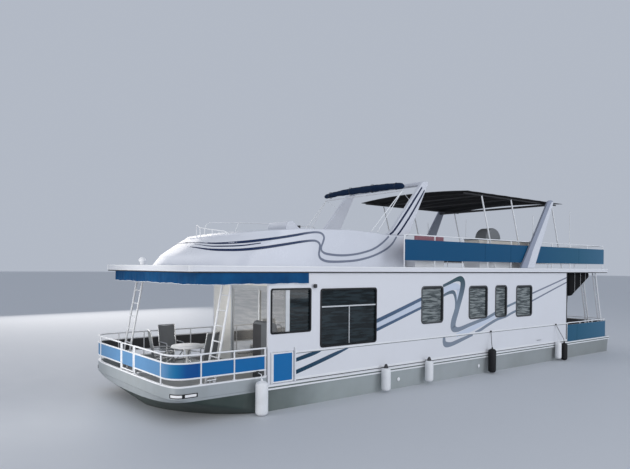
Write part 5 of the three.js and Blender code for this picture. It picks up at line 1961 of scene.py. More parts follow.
@dataclass
class Bridge:
    """The cockpit's console and bench, the grab rails on the cowl, and the folded bimini."""

    sole: float = 3.4203
    boot_x: float = 2.0
    boot_half: float = 1.8
    boot_end: float = 5.73
    boot_crown: float = 0.09
    boot_sag: float = 0.85
    rail: float = 0.015
    wheel: Point = (4.55, -0.05, 4.27)
    wheel_tilt: float = -62.0

    def build(self) -> None:
        """Builds and dresses the bridge."""
        self.build_seats()
        self.build_rails()
        self.build_boot()
        self.build_bimini_frame()

    def build_seats(self) -> None:
        """The steering console and the bench on their plinth."""
        z = self.sole
        plinth = block("bridge_plinth", (2.3, -0.7, z), (5.23, 0.7, z + 0.04), 0.01)
        outline = eased(
            [
                (4.75, z + 0.03), (5.23, z + 0.03), (5.23, 4.48), (5.16, 4.6), (5.0, 4.622), (4.8, 4.46),
                (4.64, 4.36),
                (4.75, 4.2),
            ],
            0.05, (2, 3, 4, 5, 6),
        )
        console = slab("bridge_console", outline, Axis.Y, -0.52, 0.42, 0.03)
        base = block("bridge_bench_base", (3.6, -0.65, z + 0.03), (4.1, 0.65, z + 0.36), 0.03)
        fit(joined("bridge_furniture", [plinth, console, base]), GELCOAT, replaces=["bridge_seats"])
        face = slab(
            "bridge_dials", [(4.65, 4.5), (4.655, 4.43), (4.668, 4.43), (4.675, 4.51)], Axis.Y, -0.42, 0.32,
            0.002
        )
        fit(face, BLACK_PLASTIC_AND_PAINTED_SHADE)
        cushion("bench_seat", (3.6, -0.65, z + 0.362), (4.1, 0.65, z + 0.48), FENDER_WHITE)
        cushion("bench_back", (3.48, -0.65, z + 0.38), (3.62, 0.65, z + 0.86), FENDER_WHITE)
        circle = [(0.19, -0.012), (0.202, 0), (0.19, 0.012), (0.178, 0), (0.19, -0.012)]
        rim = turned("bridge_wheel", circle, (0, 0, 0))
        hub = turned("bridge_wheel_hub", [(0, -0.02), (0.04, -0.015), (0.045, 0.01), (0, 0.015)], (0, 0, 0))
        spokes = []
        for k, turn in enumerate((30, 150, 270)):
            a = math.radians(turn)
            end = (0.19 * math.cos(a), 0.19 * math.sin(a), 0)
            spokes.append(tube(f"bridge_spoke_{k}", [(0, 0, 0), end], 0.008))
        stem = tube("bridge_stem", [(0, 0, 0), (0, 0, -0.12)], 0.014)
        wheel = joined("bridge_wheel_whole", [rim, hub, *spokes, stem])
        tilt = Matrix.Rotation(math.radians(self.wheel_tilt), 4, "Y")
        wheel.data.transform(Matrix.Translation(self.wheel) @ tilt)
        fit(wheel, BLACK_PLASTIC_AND_PAINTED_SHADE)

    def build_rails(self) -> None:
        """The hoop over the starboard side and the short rail that rises to the nose."""
        hoop = [
            (2.5, -1.702, 4.27), (2.5, -1.702, 4.6), (2.56, -1.702, 4.665), (4.5, -1.702, 4.68),
            (5.48, -1.69, 4.65), (6.4, -1.61, 4.595), (6.56, -1.585, 4.57), (6.64, -1.565, 4.51),
            (6.68, -1.55, 4.42), (6.7, -1.545, 4.16),
        ]
        nose = [
            (7.7, -0.06, 4.04), (7.735, -0.01, 4.34), (7.75, 0.06, 4.37), (7.8, 0.3, 4.29),
            (7.68, 0.7, 4.235), (7.5, 1.0, 4.19), (7.38, 1.12, 4.09),
        ]
        rails = (
            (
                "starboard", hoop,
                (((4.0, -1.702, 4.677), (4.1, -1.69, 4.3)), ((5.48, -1.69, 4.65), (5.64, -1.68, 4.27)))
            ),
            (
                "port", nose,
                (((7.8, 0.3, 4.29), (7.78, 0.29, 4.05)), ((7.68, 0.7, 4.235), (7.64, 0.69, 4.06)))
            ),
        )
        for name, line, posts in rails:
            parts = [tube(f"grab_rail_{name}", line, self.rail)]
            for k, (head, foot) in enumerate(posts):
                parts.append(tube(f"grab_post_{name}_{k}", [head, foot], self.rail * 0.9))
            fit(joined(f"grab_rail_{name}_whole", parts), WHITE_TUBE, replaces=[f"bridge_rail_{name}"])

    def build_boot(self) -> None:
        """The rolled boot, thick to port and slack along its length, and its straps."""
        rings = []
        count, around = 60, 22
        for j in range(count + 1):
            t = j / count * 2 - 1
            centre = Vector((self.boot_x, t * self.boot_half, self.boot_end + self.boot_crown * (1 - t * t)))
            end = min(1.0, (1 - abs(t)) / 0.05)
            radius = (0.084 + 0.008 * t) * (0.5 + 0.5 * math.sqrt(end))
            radius *= 1 + 0.035 * math.sin(t * 23) + 0.02 * math.sin(t * 51 + 1)
            ring = []
            for i in range(around):
                a = math.tau * i / around
                fold = 1 + 0.05 * math.sin(3 * a + t * 4) + 0.03 * math.sin(5 * a - t * 7)
                hang = 1 + self.boot_sag * (1 - t * t) * max(-math.sin(a), 0)
                out = Vector((math.cos(a) * radius * fold, 0, math.sin(a) * radius * fold * hang))
                ring.append(centre + out)
            rings.append(ring)
        boot = swelled(skin("bimini_roll", capped(rings), around=True), 0.012)
        fit(boot, BOOT_CLOTH, replaces=["bimini_boot"])
        straps = []
        for k, y in enumerate((-1.5, -0.5, 0.5, 1.5)):
            share = 1 - (y / self.boot_half) ** 2
            z = self.boot_end + self.boot_crown * share
            ring = []
            for i in range(17):
                a = math.tau * i / 16
                hang = 1 + self.boot_sag * share * max(-math.sin(a), 0)
                ring.append((self.boot_x + 0.093 * math.cos(a), y, z + 0.093 * math.sin(a) * hang))
            straps.append(tube(f"boot_strap_{k}", ring, 0.007, sides=6))
        fit(joined("boot_straps", straps), BLACK_PLASTIC_AND_PAINTED_SHADE)

    def build_bimini_frame(self) -> None:
        """The beam under the boot and the two pairs of tubes that hold it."""
        tubes = []
        beam, y = self.boot_end - 0.14, self.boot_half - 0.06
        for name, side in SIDES:
            for k, shift in enumerate((0.0, 0.26)):
                line = [(2.9 + shift, side * 1.638, 4.345), (self.boot_x, side * y, beam)]
                tubes.append(tube(f"bimini_leg_{name}_{k}", line, 0.014))
            line = [(self.boot_x, side * y, beam), (1.5, side * 1.64, 5.3)]
            tubes.append(tube(f"bimini_strap_{name}", line, 0.006))
        tubes.append(tube("bimini_beam", [(self.boot_x, -y, beam), (self.boot_x, y, beam)], 0.018))
        fit(joined("bimini_tubes", tubes), WHITE_TUBE, replaces=["bimini_frame"])


@dataclass
class Canopy:
    """The large flat canopy stretched on three pairs of raked poles."""

    aft: float = -5.9
    front: float = -0.25
    half: float = 2.39
    edge: float = 5.745
    crown: float = 0.12
    thick: float = 0.03
    rail: float = 5.685
    pole_y: float = 2.2
    lean: float = 0.34
    roof: float = 3.3503
    heads: tuple = (-1.22, -2.87, -5.5)
    panel: float = 1.375

    def build(self) -> None:
        """Builds and dresses the canopy and its frame."""
        columns, rows = 88, 40
        rings = []
        for j in range(rows + 1):
            t = j / rows * 2 - 1
            ring = []
            for i in range(columns + 1):
                x = self.aft + (self.front - self.aft) * i / columns
                z = self.edge - self.thick / 2 + self.crown * (1 - t * t)
                share = (x - self.aft) % self.panel / self.panel
                sag = 0.018 * math.sin(math.pi * share) * (1 - t * t)
                ring.append((x, t * self.half, z - sag + 0.004 * math.sin(x * 9 + t * 3)))
            rings.append(ring)
        cover = skin("canopy_cover", rings, closed=False)
        scale_map(cover, self.front - self.aft, self.half * 2)
        fit(cover, CANOPY_CLOTH, replaces=["canopy"])
        modify(cover, "SOLIDIFY", thickness=0.003, offset=0.0)
        near, far = [ring[0] for ring in rings[::-1][1:]], [ring[-1] for ring in rings[1:]]
        hem = [(x, y, z - 0.004) for x, y, z in (*rings[0], *far, *rings[-1][::-1][1:], *near)]
        fit(tube("canopy_hem", hem[::4] + hem[:1], 0.008, sides=6), BLACK_PLASTIC_AND_PAINTED_SHADE)
        self.build_frame()

    def build_frame(self) -> None:
        """The pale raked poles, and the black bars that the cloth lies on."""
        poles, bars = [], []
        for k, head in enumerate(self.heads):
            foot = head - self.lean * (self.rail - self.roof)
            for name, side in SIDES:
                y = side * self.pole_y
                line = [(foot, y, self.roof + 0.004), (head, y, self.rail)]
                poles.append(tube(f"pole_{name}_{k}", line, 0.024, sides=14))
                low, high = (foot - 0.06, y - 0.05, self.roof), (foot + 0.06, y + 0.05, self.roof + 0.014)
                poles.append(block(f"pole_foot_{name}_{k}", low, high, 0.005))
            low = (head - 0.024, -self.pole_y, self.rail - 0.02)
            bars.append(block(f"canopy_beam_{k}", low, (head + 0.024, self.pole_y, self.rail + 0.02), 0.008))
            bow = []
            for t in spaced(-1, 1, 11):
                bow.append((head, t * self.pole_y, self.rail + 0.03 + self.crown * (1 - t * t)))
            bars.append(tube(f"canopy_bow_{k}", bow, 0.012))
        for name, side in SIDES:
            y = side * self.pole_y
            low, high = (-5.78, y - 0.022, self.rail - 0.022), (-0.3, y + 0.022, self.rail + 0.022)
            bars.append(block(f"canopy_side_{name}", low, high, 0.008))
            for k, (x, top) in enumerate(((-4.0, 5.18), (-6.53, 5.49))):
                line = [(x, side * 2.36, self.roof), (x, side * 2.36, top)]
                poles.append(tube(f"staff_{name}_{k}", line, 0.012))
        fit(joined("canopy_poles", poles), WHITE_TUBE, replaces=["canopy_frame"])
        fit(joined("canopy_bars", bars), BLACK_PLASTIC_AND_PAINTED_SHADE)


# Rails, gates and ladders


@dataclass
class Railing:
    """A rail of round bars and posts with blue boards, along one plan path.

    Attributes:
        name: Its name, and that of the node that it stands for.
        path: Its plan path.
        low: The lower edge of its boards.
        high: The upper edge of its boards.
        hand: The height of its handrail.
        posts: The (x, y, foot) of each post.
        board: What its boards are made of.
        inner: 1 if the deck lies to the left of the path, -1 if to its right.
        seams: The plan points where one board ends and the next starts, or none to take the posts.
        outside: How far the boards stand outside the path.
        bend: The radius that the handrail turns down with at its ends.
    """

    name: str
    path: list[Point]
    low: float
    high: float
    hand: float
    posts: list[tuple[float, float, float]]
    board: Finish
    inner: int = -1
    seams: Sequence[Point] = ()
    outside: float = 0.0
    bend: float = 0.0
    tube: float = 0.019

    def beside(self, path: Sequence[Point], out: float) -> list[Point]:
        """A path moved sideways, away from the deck."""
        if not out:
            return list(path)
        pair = strip(path, abs(out) * 2)
        left, right = pair[: len(path)], pair[len(path):][::-1]
        return right if (self.inner > 0) == (out > 0) else left

    def build(self) -> None:
        """Builds and dresses the rail."""
        bars = [
            tube(f"{self.name}_bar_{k}", lift(self.path, z), self.tube, sides=12)
            for k, z in enumerate((self.low, self.high))
        ]
        whole = lengths(self.path)[-1]
        hand = lift(stretch(self.path, self.bend, whole - self.bend), self.hand)
        if self.bend:
            for end in (0, -1):
                turn = []
                for a in (math.radians(d) for d in (0, 30, 60)):
                    away = self.bend * (1 - math.cos(a))
                    spot = at(self.path, away if end == 0 else whole - away)
                    turn.append((spot.x, spot.y, self.hand - self.bend + self.bend * math.sin(a)))
                turn.insert(0, (turn[0][0], turn[0][1], self.low))
                hand = turn + hand if end == 0 else hand + turn[::-1]
        bars.append(tube(f"{self.name}_hand", hand, self.tube, sides=12))
        for k, (x, y, foot) in enumerate(self.posts):
            line = [(x, y, foot), (x, y, self.hand)]
            bars.append(tube(f"{self.name}_post_{k}", line, self.tube * 0.95, sides=12))
            low, high = (x - 0.04, y - 0.035, foot), (x + 0.04, y + 0.035, foot + 0.012)
            bars.append(block(f"{self.name}_foot_{k}", low, high, 0.004))
        fit(joined(f"{self.name}_tubes", bars), WHITE_TUBE, replaces=[self.name])
        self.build_boards()

    def build_boards(self) -> None:
        """The boards, blue outside, with black backs inside that paint the shade on their inner faces."""
        whole = lengths(self.path)[-1]
        points = self.seams or [(x, y) for x, y, _ in self.posts]
        marks = sorted({round(nearest(self.path, point), 3) for point in points})
        marks = [0.0, *[m for m in marks if 0.1 < m < whole - 0.1], whole]
        gap = 0.006 if self.outside else self.tube
        fronts, painted_shade_backs = [], []
        for k, (start, end) in enumerate(zip(marks, marks[1:])):
            run = stretch(self.path, start + gap, end - gap)
            low, high = self.low + 0.006, self.high - 0.006
            if self.outside:
                low, high = self.low - self.tube, self.high + self.tube
            line = self.beside(run, self.outside)
            fronts.append(band(f"{self.name}_board_{k}", line, 0.010, low, high, 0.003))
            # Black backs inside the boards: painted shade on their inner faces.
            line = self.beside(run, self.outside - 0.009)
            painted_shade_backs.append(band(f"{self.name}_back_{k}", line, 0.006, low, high, 0.002))
        fit(joined(f"{self.name}_boards", fronts), self.board)
        fit(joined(f"{self.name}_backs", painted_shade_backs), BLACK_PLASTIC_AND_PAINTED_SHADE)


@dataclass
class Rails:
    """All rails, gates and ladder frames."""

    deck: float = 0.5503
    bulwark: float = 0.8323
    roof: float = 3.3503
    bow_y: float = 2.41
    bow_x: float = 9.51
    gate_half: float = 0.385

    def build(self) -> None:
        """Builds and dresses them all."""
        for name, side in SIDES:
            self.build_bow_rail(name, side)
        self.build_upper_rail()
        self.build_stern_rail()
        self.build_front_gate()
        self.build_side_gate()
        self.build_ladders()

    def build_bow_rail(self, name: str, side: int) -> None:
        """One side of the bow rail.

        Args:
            name: The side's name.
            side: 1 to port, -1 to starboard.
        """
        corner, end = 0.42, 7.21 if side > 0 else 5.94
        x, y = self.bow_x, self.bow_y
        path = [(end, y), *arc(x - corner, y - corner, corner, 90, 0, 8), (x, self.gate_half + 0.02)]
        path = [(px, side * py) for px, py in path]
        posts = []
        for px in spaced(end + 0.019, 8.85, 3 if side > 0 else 5):
            posts.append((px, side * y, self.bulwark if px - 0.019 > 7.2 else self.deck))
        for py in (1.87, self.gate_half + 0.039):
            posts.append((x, side * py, self.bulwark))
        Railing(f"bow_rail_{name}", path, 0.973, 1.3, 1.47, posts, BOW_BOARD_PAINTED_SHADING, inner=-side).build()

    def build_upper_rail(self) -> None:
        """The rail round the upper deck, its boards outside its posts."""
        front, aft, y = 2.561, -9.2, 2.36
        path = [(front, -y), (aft, -y), (aft, y), (front, y)]
        posts = [(x, side * y, self.roof) for _, side in SIDES for x in spaced(front, aft, 10)]
        posts += [(aft, py, self.roof) for py in spaced(-y, y, 5)[1:-1]]
        seams = [(x, side * y) for _, side in SIDES for x in (-1.18, -2.62, -7.2)] + [(aft, 0.0)]
        Railing("upper_rail", path, 3.56, 4.11, 4.265, posts, UPPER_BOARD, -1, seams, 0.026, 0.11).build()

    def build_stern_rail(self) -> None:
        """The rail round the aft deck."""
        y, aft, start, corner = 2.41, -9.52, -6.32, 0.25
        path = [(start, y), *arc(aft + corner, y - corner, corner, 90, 180, 6)]
        path += [*arc(aft + corner, corner - y, corner, 180, 270, 6), (start, -y)]
        stations = spaced(start - 0.019, aft + corner + 0.03, 4)
        posts = [(x, side * y, self.deck) for _, side in SIDES for x in stations]
        posts += [(aft, py, self.deck) for py in spaced(-1.5, 1.5, 4)]
        seams = [(-7.04, y), (-7.04, -y), (aft, 1.5), (aft, -1.5)]
        Railing("stern_rail", path, 0.64, 1.225, 1.315, posts, UPPER_BOARD, 1, seams, 0.023, 0.06).build()

    def build_front_gate(self) -> None:
        """The boarding gate in the middle of the bow rail."""
        w, x = self.gate_half - 0.010 - 0.019, self.bow_x
        low, high = 0.832 + 0.02 + 0.019, 1.47
        loop = [(x, -w, low), (x, w, low), (x, w, high), (x, -w, high), (x, -w, low)]
        frame = [tube("front_gate_loop", loop, 0.019, sides=12)]
        frame.append(tube("front_gate_bar", [(x, -w, 1.3), (x, w, 1.3)], 0.015))
        fit(joined("front_gate_frame", frame), WHITE_TUBE, "front_gate", ["front_gate"])
        # The black back behind the gate's board paints the shade on its inner face.
        for label, aft, fore, edge, finish in (
            ("board", -0.005, 0.005, 0.003, BOW_BOARD_PAINTED_SHADING), ("back", -0.012, -0.006, 0.002, BLACK_PLASTIC_AND_PAINTED_SHADE)
        ):
            corners = (x + aft, -w + 0.015, low + 0.1), (x + fore, w - 0.015, 1.29)
            fit(block(f"front_gate_{label}", *corners, edge), finish, "front_gate")

    def build_side_gate(self) -> None:
        """The boarding gate in the port wing, and the two posts beside it."""
        x0, x1, z0, z1 = 6.438, 7.042, 0.633, 1.342
        outer = rounded(x0, x1, z0, z1, 0.02, 3)
        inner = rounded(x0 + 0.035, x1 - 0.035, z0 + 0.035, z1 - 0.035, 0.015, 3)
        frame = surround("side_gate_frame", outer, inner, Axis.Y, 2.4, 2.432)
        fit(frame, WHITE_TUBE, "side_gate", ["side_gate"])
        outline = rounded(x0 + 0.03, x1 - 0.03, z0 + 0.03, z1 - 0.03, 0.012, 3)
        fit(slab("side_gate_board", outline, Axis.Y, 2.408, 2.424), BLUE_BOARD, "side_gate")
        jambs = [
            tube(f"jamb_{k}", [(x, 2.462, 0.63), (x, 2.462, top)], 0.019, sides=12)
            for k, (x, top) in enumerate(((6.405, 1.43), (7.08, 1.36)))
        ]
        fit(joined("side_gate_jambs", jambs), WHITE_TUBE)

    def build_ladders(self) -> None:
        """The leaning ladder frames under the roof's overhangs."""
        frames = (
            ("bow_ladder_port", 8.33, 7.84, 1.8, 0.4), ("bow_ladder_starboard", 8.94, 8.45, -1.8, 0.4),
            ("stern_ladder_port", -9.38, -8.66, 2.27, 0.11), ("stern_ladder_inner", -9.38, -8.66, 1.75, 0.11),
            ("stern_ladder_starboard", -9.38, -8.66, -2.27, 0.11),
        )
        for name, foot, head, y, width in frames:
            z0, z1 = 0.558, 3.202
            parts = []
            for k, ry in enumerate((y - width / 2, y + width / 2)):
                parts.append(tube(f"{name}_rail_{k}", [(foot, ry, z0), (head, ry, z1)], 0.026, sides=12))
            for k, t in enumerate(spaced(0.14, 0.93, 7)):
                x, z = foot + (head - foot) * t, z0 + (z1 - z0) * t
                parts.append(tube(f"{name}_rung_{k}", [(x, y - width / 2, z), (x, y + width / 2, z)], 0.016))
            fit(joined(f"{name}_frame", parts), WHITE_TUBE, replaces=[name])


# Deck furniture, helm, fenders and drives


@dataclass
class FrontDeck:
    """The table, the sling chairs and the helm in the front porch."""

    deck: float = 0.5503
    table: Point = (7.89, -0.15)
    table_top: float = 1.31
    table_radius: float = 0.42
    wheel: Point = (6.5, 1.83, 1.7)
    wheel_tilt: float = 75.0
    chairs: tuple = ((7.61, -1.72, 90.0), (8.3, -0.76, 165.0), (7.66, 0.2, -66.0))

    def build(self) -> None:
        """Builds and dresses the furniture and the helm."""
        self.build_table()
        self.build_chairs()
        self.build_helm()

    def build_table(self) -> None:
        """The round pedestal table with its thick rim."""
        top, r = self.table_top, self.table_radius
        profile = [
            (0, self.deck), (0.185, self.deck), (0.2, self.deck + 0.012), (0.185, self.deck + 0.028),
            (0.1, self.deck + 0.06), (0.055, self.deck + 0.12), (0.05, top - 0.2), (0.07, top - 0.1),
            (0.16, top - 0.062),
            (r - 0.03, top - 0.06), (r - 0.006, top - 0.05), (r, top - 0.032), (r - 0.004, top - 0.012),
            (r - 0.02, top), (0, top),
        ]
        fit(turned("deck_table", profile, (*self.table, 0), 48), TABLE_WHITE, replaces=["table"])

    def build_chairs(self) -> None:
        """The sling chairs: one modelled at the origin, and its copies."""
        low = self.deck + 0.002
        tubes = []
        for name, side in SIDES:
            y = side * 0.25
            front = [(0.24, y, low), (0.25, y, 1.17), (0.22, y, 1.2), (-0.27, y, 1.205)]
            tubes.append(tube(f"chair_arm_{name}", front, 0.014))
            tubes.append(tube(f"chair_leg_{name}", [(-0.33, y, low + 0.012), (0.24, y, 1.0)], 0.014))
            tubes.append(tube(f"chair_back_{name}", [(-0.215, y, 0.95), (-0.345, y, 1.66)], 0.014))
            tubes.append(tube(f"chair_seat_{name}", [(-0.215, y, 0.965), (0.24, y, 1.0)], 0.013))
        tubes.append(tube("chair_top", [(-0.345, -0.25, 1.66), (-0.345, 0.25, 1.66)], 0.014))
        tubes.append(tube("chair_brace", [(0.24, -0.25, 0.98), (0.24, 0.25, 0.98)], 0.011))
        frame = joined("chair_frame", tubes)
        line = [
            (0.235, 1.012), (0.1, 0.992), (-0.08, 0.972), (-0.19, 0.972), (-0.232, 1.01), (-0.27, 1.2),
            (-0.345, 1.65),
        ]
        route = smooth_line(line, 5)
        across = spaced(-0.24, 0.24, 13)
        rings = []
        for knot in route:
            rings.append([(knot.x, y, knot.y - 0.012 * (1 - (y / 0.24) ** 2)) for y in across])
        sling = skin("chair_sling", rings, closed=False)
        run = lengths([tuple(k) for k in route])[-1]
        scale_map(sling, 0.48, run)
        for k, (x, y, turn) in enumerate(self.chairs):
            place = Matrix.Translation((x, y, 0)) @ Matrix.Rotation(math.radians(turn), 4, "Z")
            tubing = moved_copy(frame, f"chair_frame_{k + 1}", place)
            fit(tubing, ANODISED, replaces=[f"chair_{k + 1}"])
            cloth = fit(moved_copy(sling, f"chair_sling_{k + 1}", place), SLING)
        bpy.data.objects.remove(frame)
        bpy.data.objects.remove(sling)

    def build_helm(self) -> None:
        """The steering console, its hood and the wheel."""
        x0, x1, y0, y1 = 6.64, 7.06, 1.62, 2.2
        profile = [
            (x0 + 0.06, self.deck), (x1, self.deck), (x1, 1.98), (x1 - 0.03, 2.02), (x1 - 0.09, 2.04),
            (x0 + 0.13, 1.98), (x0 + 0.07, 1.72), (x0, 1.56), (x0 + 0.06, 1.46),
        ]
        fit(slab("helm_stand", profile, Axis.Y, y0, y1, 0.025), GREY_PLASTIC, replaces=["helm_console"])
        outline = [(x0 + 0.068, 1.74), (x0 + 0.125, 1.95), (x0 + 0.12, 1.952), (x0 + 0.06, 1.745)]
        fit(slab("helm_panel", outline, Axis.Y, y0 + 0.04, y1 - 0.04), BLACK_PLASTIC_AND_PAINTED_SHADE)
        low, high = (x1 - 0.004, y0 + 0.01, self.deck + 0.12), (x1 + 0.004, y0 + 0.36, 1.96)
        fit(block("helm_cloth_panel", low, high, 0.003), BLACK_PLASTIC_AND_PAINTED_SHADE)
        tilt = Matrix.Translation(self.wheel) @ Matrix.Rotation(math.radians(self.wheel_tilt), 4, "Y")
        circle = [(0.225 + 0.016 * math.cos(a), 0.016 * math.sin(a)) for a in spaced(0, math.tau, 11)]
        rim = turned("wheel_rim", circle, (0, 0, 0), 40)
        rim.data.transform(tilt)
        fit(rim, TABLE_WHITE, "helm_wheel")
        profile = [(0, -0.022), (0.04, -0.018), (0.05, 0.0), (0.045, 0.018), (0, 0.02)]
        parts = [turned("wheel_hub", profile, (0, 0, 0), 24)]
        for k, turn in enumerate((90, 210, 330)):
            a = math.radians(turn)
            end = (0.22 * math.cos(a), 0.22 * math.sin(a), 0)
            parts.append(tube(f"wheel_spoke_{k}", [(0, 0, 0), end], 0.009))
        parts.append(tube("wheel_stem", [(0, 0, 0), (0, 0, 0.2)], 0.014))
        wheel = joined("steering_wheel", parts)
        wheel.data.transform(tilt)
        fit(wheel, BLACK_PLASTIC_AND_PAINTED_SHADE, "helm_wheel", ["helm_wheel"])


@dataclass
class Fenders:
    """The fenders along the port side, each on a taut line or on a bracket.

    Attributes:
        rows: The x, the radius, the length, the centre's height, whether it is black, and where its line
            ends, as (x, y, z).
    """

    rows: tuple = (
        (7.46, 0.145, 0.78, 0.39, False, (7.46, 2.494, 0.94)),
        (3.5, 0.127, 0.62, 0.36, False, None),
        (1.745, 0.12, 0.61, 0.395, False, None),
        (-1.3, 0.122, 0.76, 0.4, True, (-1.41, 2.48, 1.3)),
        (-5.375, 0.11, 0.62, 0.39, False, (-5.41, 2.48, 1.3)),
        (-5.78, 0.115, 0.63, 0.315, True, (-5.41, 2.48, 1.3)),
    )

    def build(self) -> None:
        """Builds and dresses the fenders."""
        for k, (x, radius, length, z, dark, hook) in enumerate(self.rows):
            half, cap = length / 2, radius * 0.62
            shoulder = [(t, radius * (1 - 0.55 * (1 - t) ** 2.2)) for t in (0.2, 0.45, 0.7, 1.0)]
            profile = [(0, -half), (radius * 0.4, -half + 0.006)]
            profile += [(r, -half + cap * t) for t, r in shoulder]
            profile += [(r, half - cap * t) for t, r in shoulder[::-1]]
            profile += [(radius * 0.32, half - 0.004), (0.024, half + 0.012)]
            profile += [(0.02, half + 0.05), (0, half + 0.052)]
            y = 2.44 + GAP + 0.04 + radius + 0.006
            body = turned(f"fender_body_{k + 1}", profile, (x, y, z), 28)
            fit(body, FENDER_BLACK if dark else FENDER_WHITE, replaces=[f"fender_{k + 1}"])
            top = (x, y, z + half + 0.04)
            if hook is None:
                cone = [(0, -0.06), (0.07, -0.055), (0.055, 0.01), (0.025, 0.075), (0, 0.08)]
                parts = [turned(f"fender_cone_{k + 1}", cone, (x, y, z + half + 0.02), 20)]
                arm = [(x, WALL_FACE, z + half - 0.02), (x, y, z + half + 0.02)]
                parts.append(tube(f"fender_arm_{k + 1}", arm, 0.01))
                fit(joined(f"fender_bracket_{k + 1}", parts), BLACK_PLASTIC_AND_PAINTED_SHADE)
                continue
            line = tube(f"fender_line_{k + 1}", [top, (x, y - 0.02, top[2] + 0.1), hook], 0.009, sides=8)
            fit(line, FENDER_BLACK if dark else FENDER_WHITE)
            if k == 0:
                low, high = (x - 0.03, WALL_FACE, hook[2] - 0.04), (x + 0.03, 2.5, hook[2] + 0.04)
                fit(block("fender_hook_1", low, high, 0.015, 3), BLACK_PLASTIC_AND_PAINTED_SHADE)


@dataclass
class RoofDeck:
    """What stands on the upper deck and hangs under its stern: bench, serving bar with cooker, and awning."""

    roof: float = 3.3503
    bar_top: float = 4.3

    def build(self) -> None:
        """Builds and dresses the furniture and the awning."""
        z = self.roof
        base = block("roof_bench_base", (0.46, 1.51, z), (1.79, 2.08, z + 0.34), 0.02)
        fit(base, WHITE_TUBE, replaces=["roof_bench"])
        cushion("roof_bench_seat", (0.45, 1.5, z + 0.342), (1.8, 2.09, z + 0.45), MAROON)
        cushion("roof_bench_back", (0.45, 1.99, z + 0.455), (1.8, 2.09, z + 0.96), MAROON)
        fit(block("bar_plinth", (-4.47, 1.46, z), (-1.38, 2.045, z + 0.3), 0.006), WHITE_TUBE)
        cabinet = [block("bar_cabinet", (-4.49, 1.44, z + 0.301), (-1.36, 2.03, self.bar_top - 0.04), 0.008)]
        door = block("bar_door", (-4.45, 1.432, z + 0.34), (-3.87, 1.442, self.bar_top - 0.09), 0.004)
        cabinet.append(repeated("bar_doors", door, (0.62, 0, 0), 5))
        fit(joined("roof_bar_cabinet", cabinet), BEIGE, replaces=["roof_bar"])
        low, high = (-4.5, 1.42, self.bar_top - 0.038), (-1.35, 2.05, self.bar_top)
        fit(block("roof_bar_top", low, high, 0.012, 3), GREY_PLASTIC)
        lid = [(-2.26 + 0.43 * u, self.bar_top + 0.002 + 0.388 * v) for u, v in arc(0, 0, 1, 0, 180, 16)]
        cooker = [slab("cooker_lid", lid, Axis.Y, 1.5, 1.96, 0.05)]
        handle = [(-2.5, 1.5, 4.42), (-2.5, 1.46, 4.42), (-1.98, 1.46, 4.42), (-1.98, 1.5, 4.42)]
        cooker.append(tube("cooker_handle", handle, 0.01))
        fit(joined("cooker", cooker), GREY_PLASTIC)
        top = 3.2097
        outline = [
            (-8.74, top - 0.01), (-8.745, 3.01), (-8.5, 2.87), (-7.38, 2.28), (-7.16, 2.27),
            (-7.115, top - 0.01)
        ]
        bundle = slab("awning_bundle", eased(outline, 0.06), Axis.Y, 1.885, 2.045, 0.04)
        fit(swelled(bundle, 0.015), CANOPY_CLOTH, replaces=["stowed_awning"])
        ties = []
        for k, x in enumerate((-8.4, -8.0, -7.55)):
            low = 2.25 + (-7.38 - x) * 0.536
            loop = [(x, 1.868, top), (x, 1.868, low), (x, 2.062, low), (x, 2.062, top)]
            ties.append(tube(f"awning_tie_{k}", loop, 0.005, sides=6))
        fit(joined("awning_ties", ties), FENDER_WHITE)
        profile = [
            (0, 3.18), (0.05, 3.17), (0.062, 3.0), (0.055, 2.7), (0.064, 2.4), (0.05, 2.1), (0.02, 2.04),
            (0.014, 1.5),
        ]
        roll = turned("aft_curtain_roll", [*profile, (0, 1.5)], (-6.335, 2.35, 0), 20)
        fit(roll, CANOPY_CLOTH)


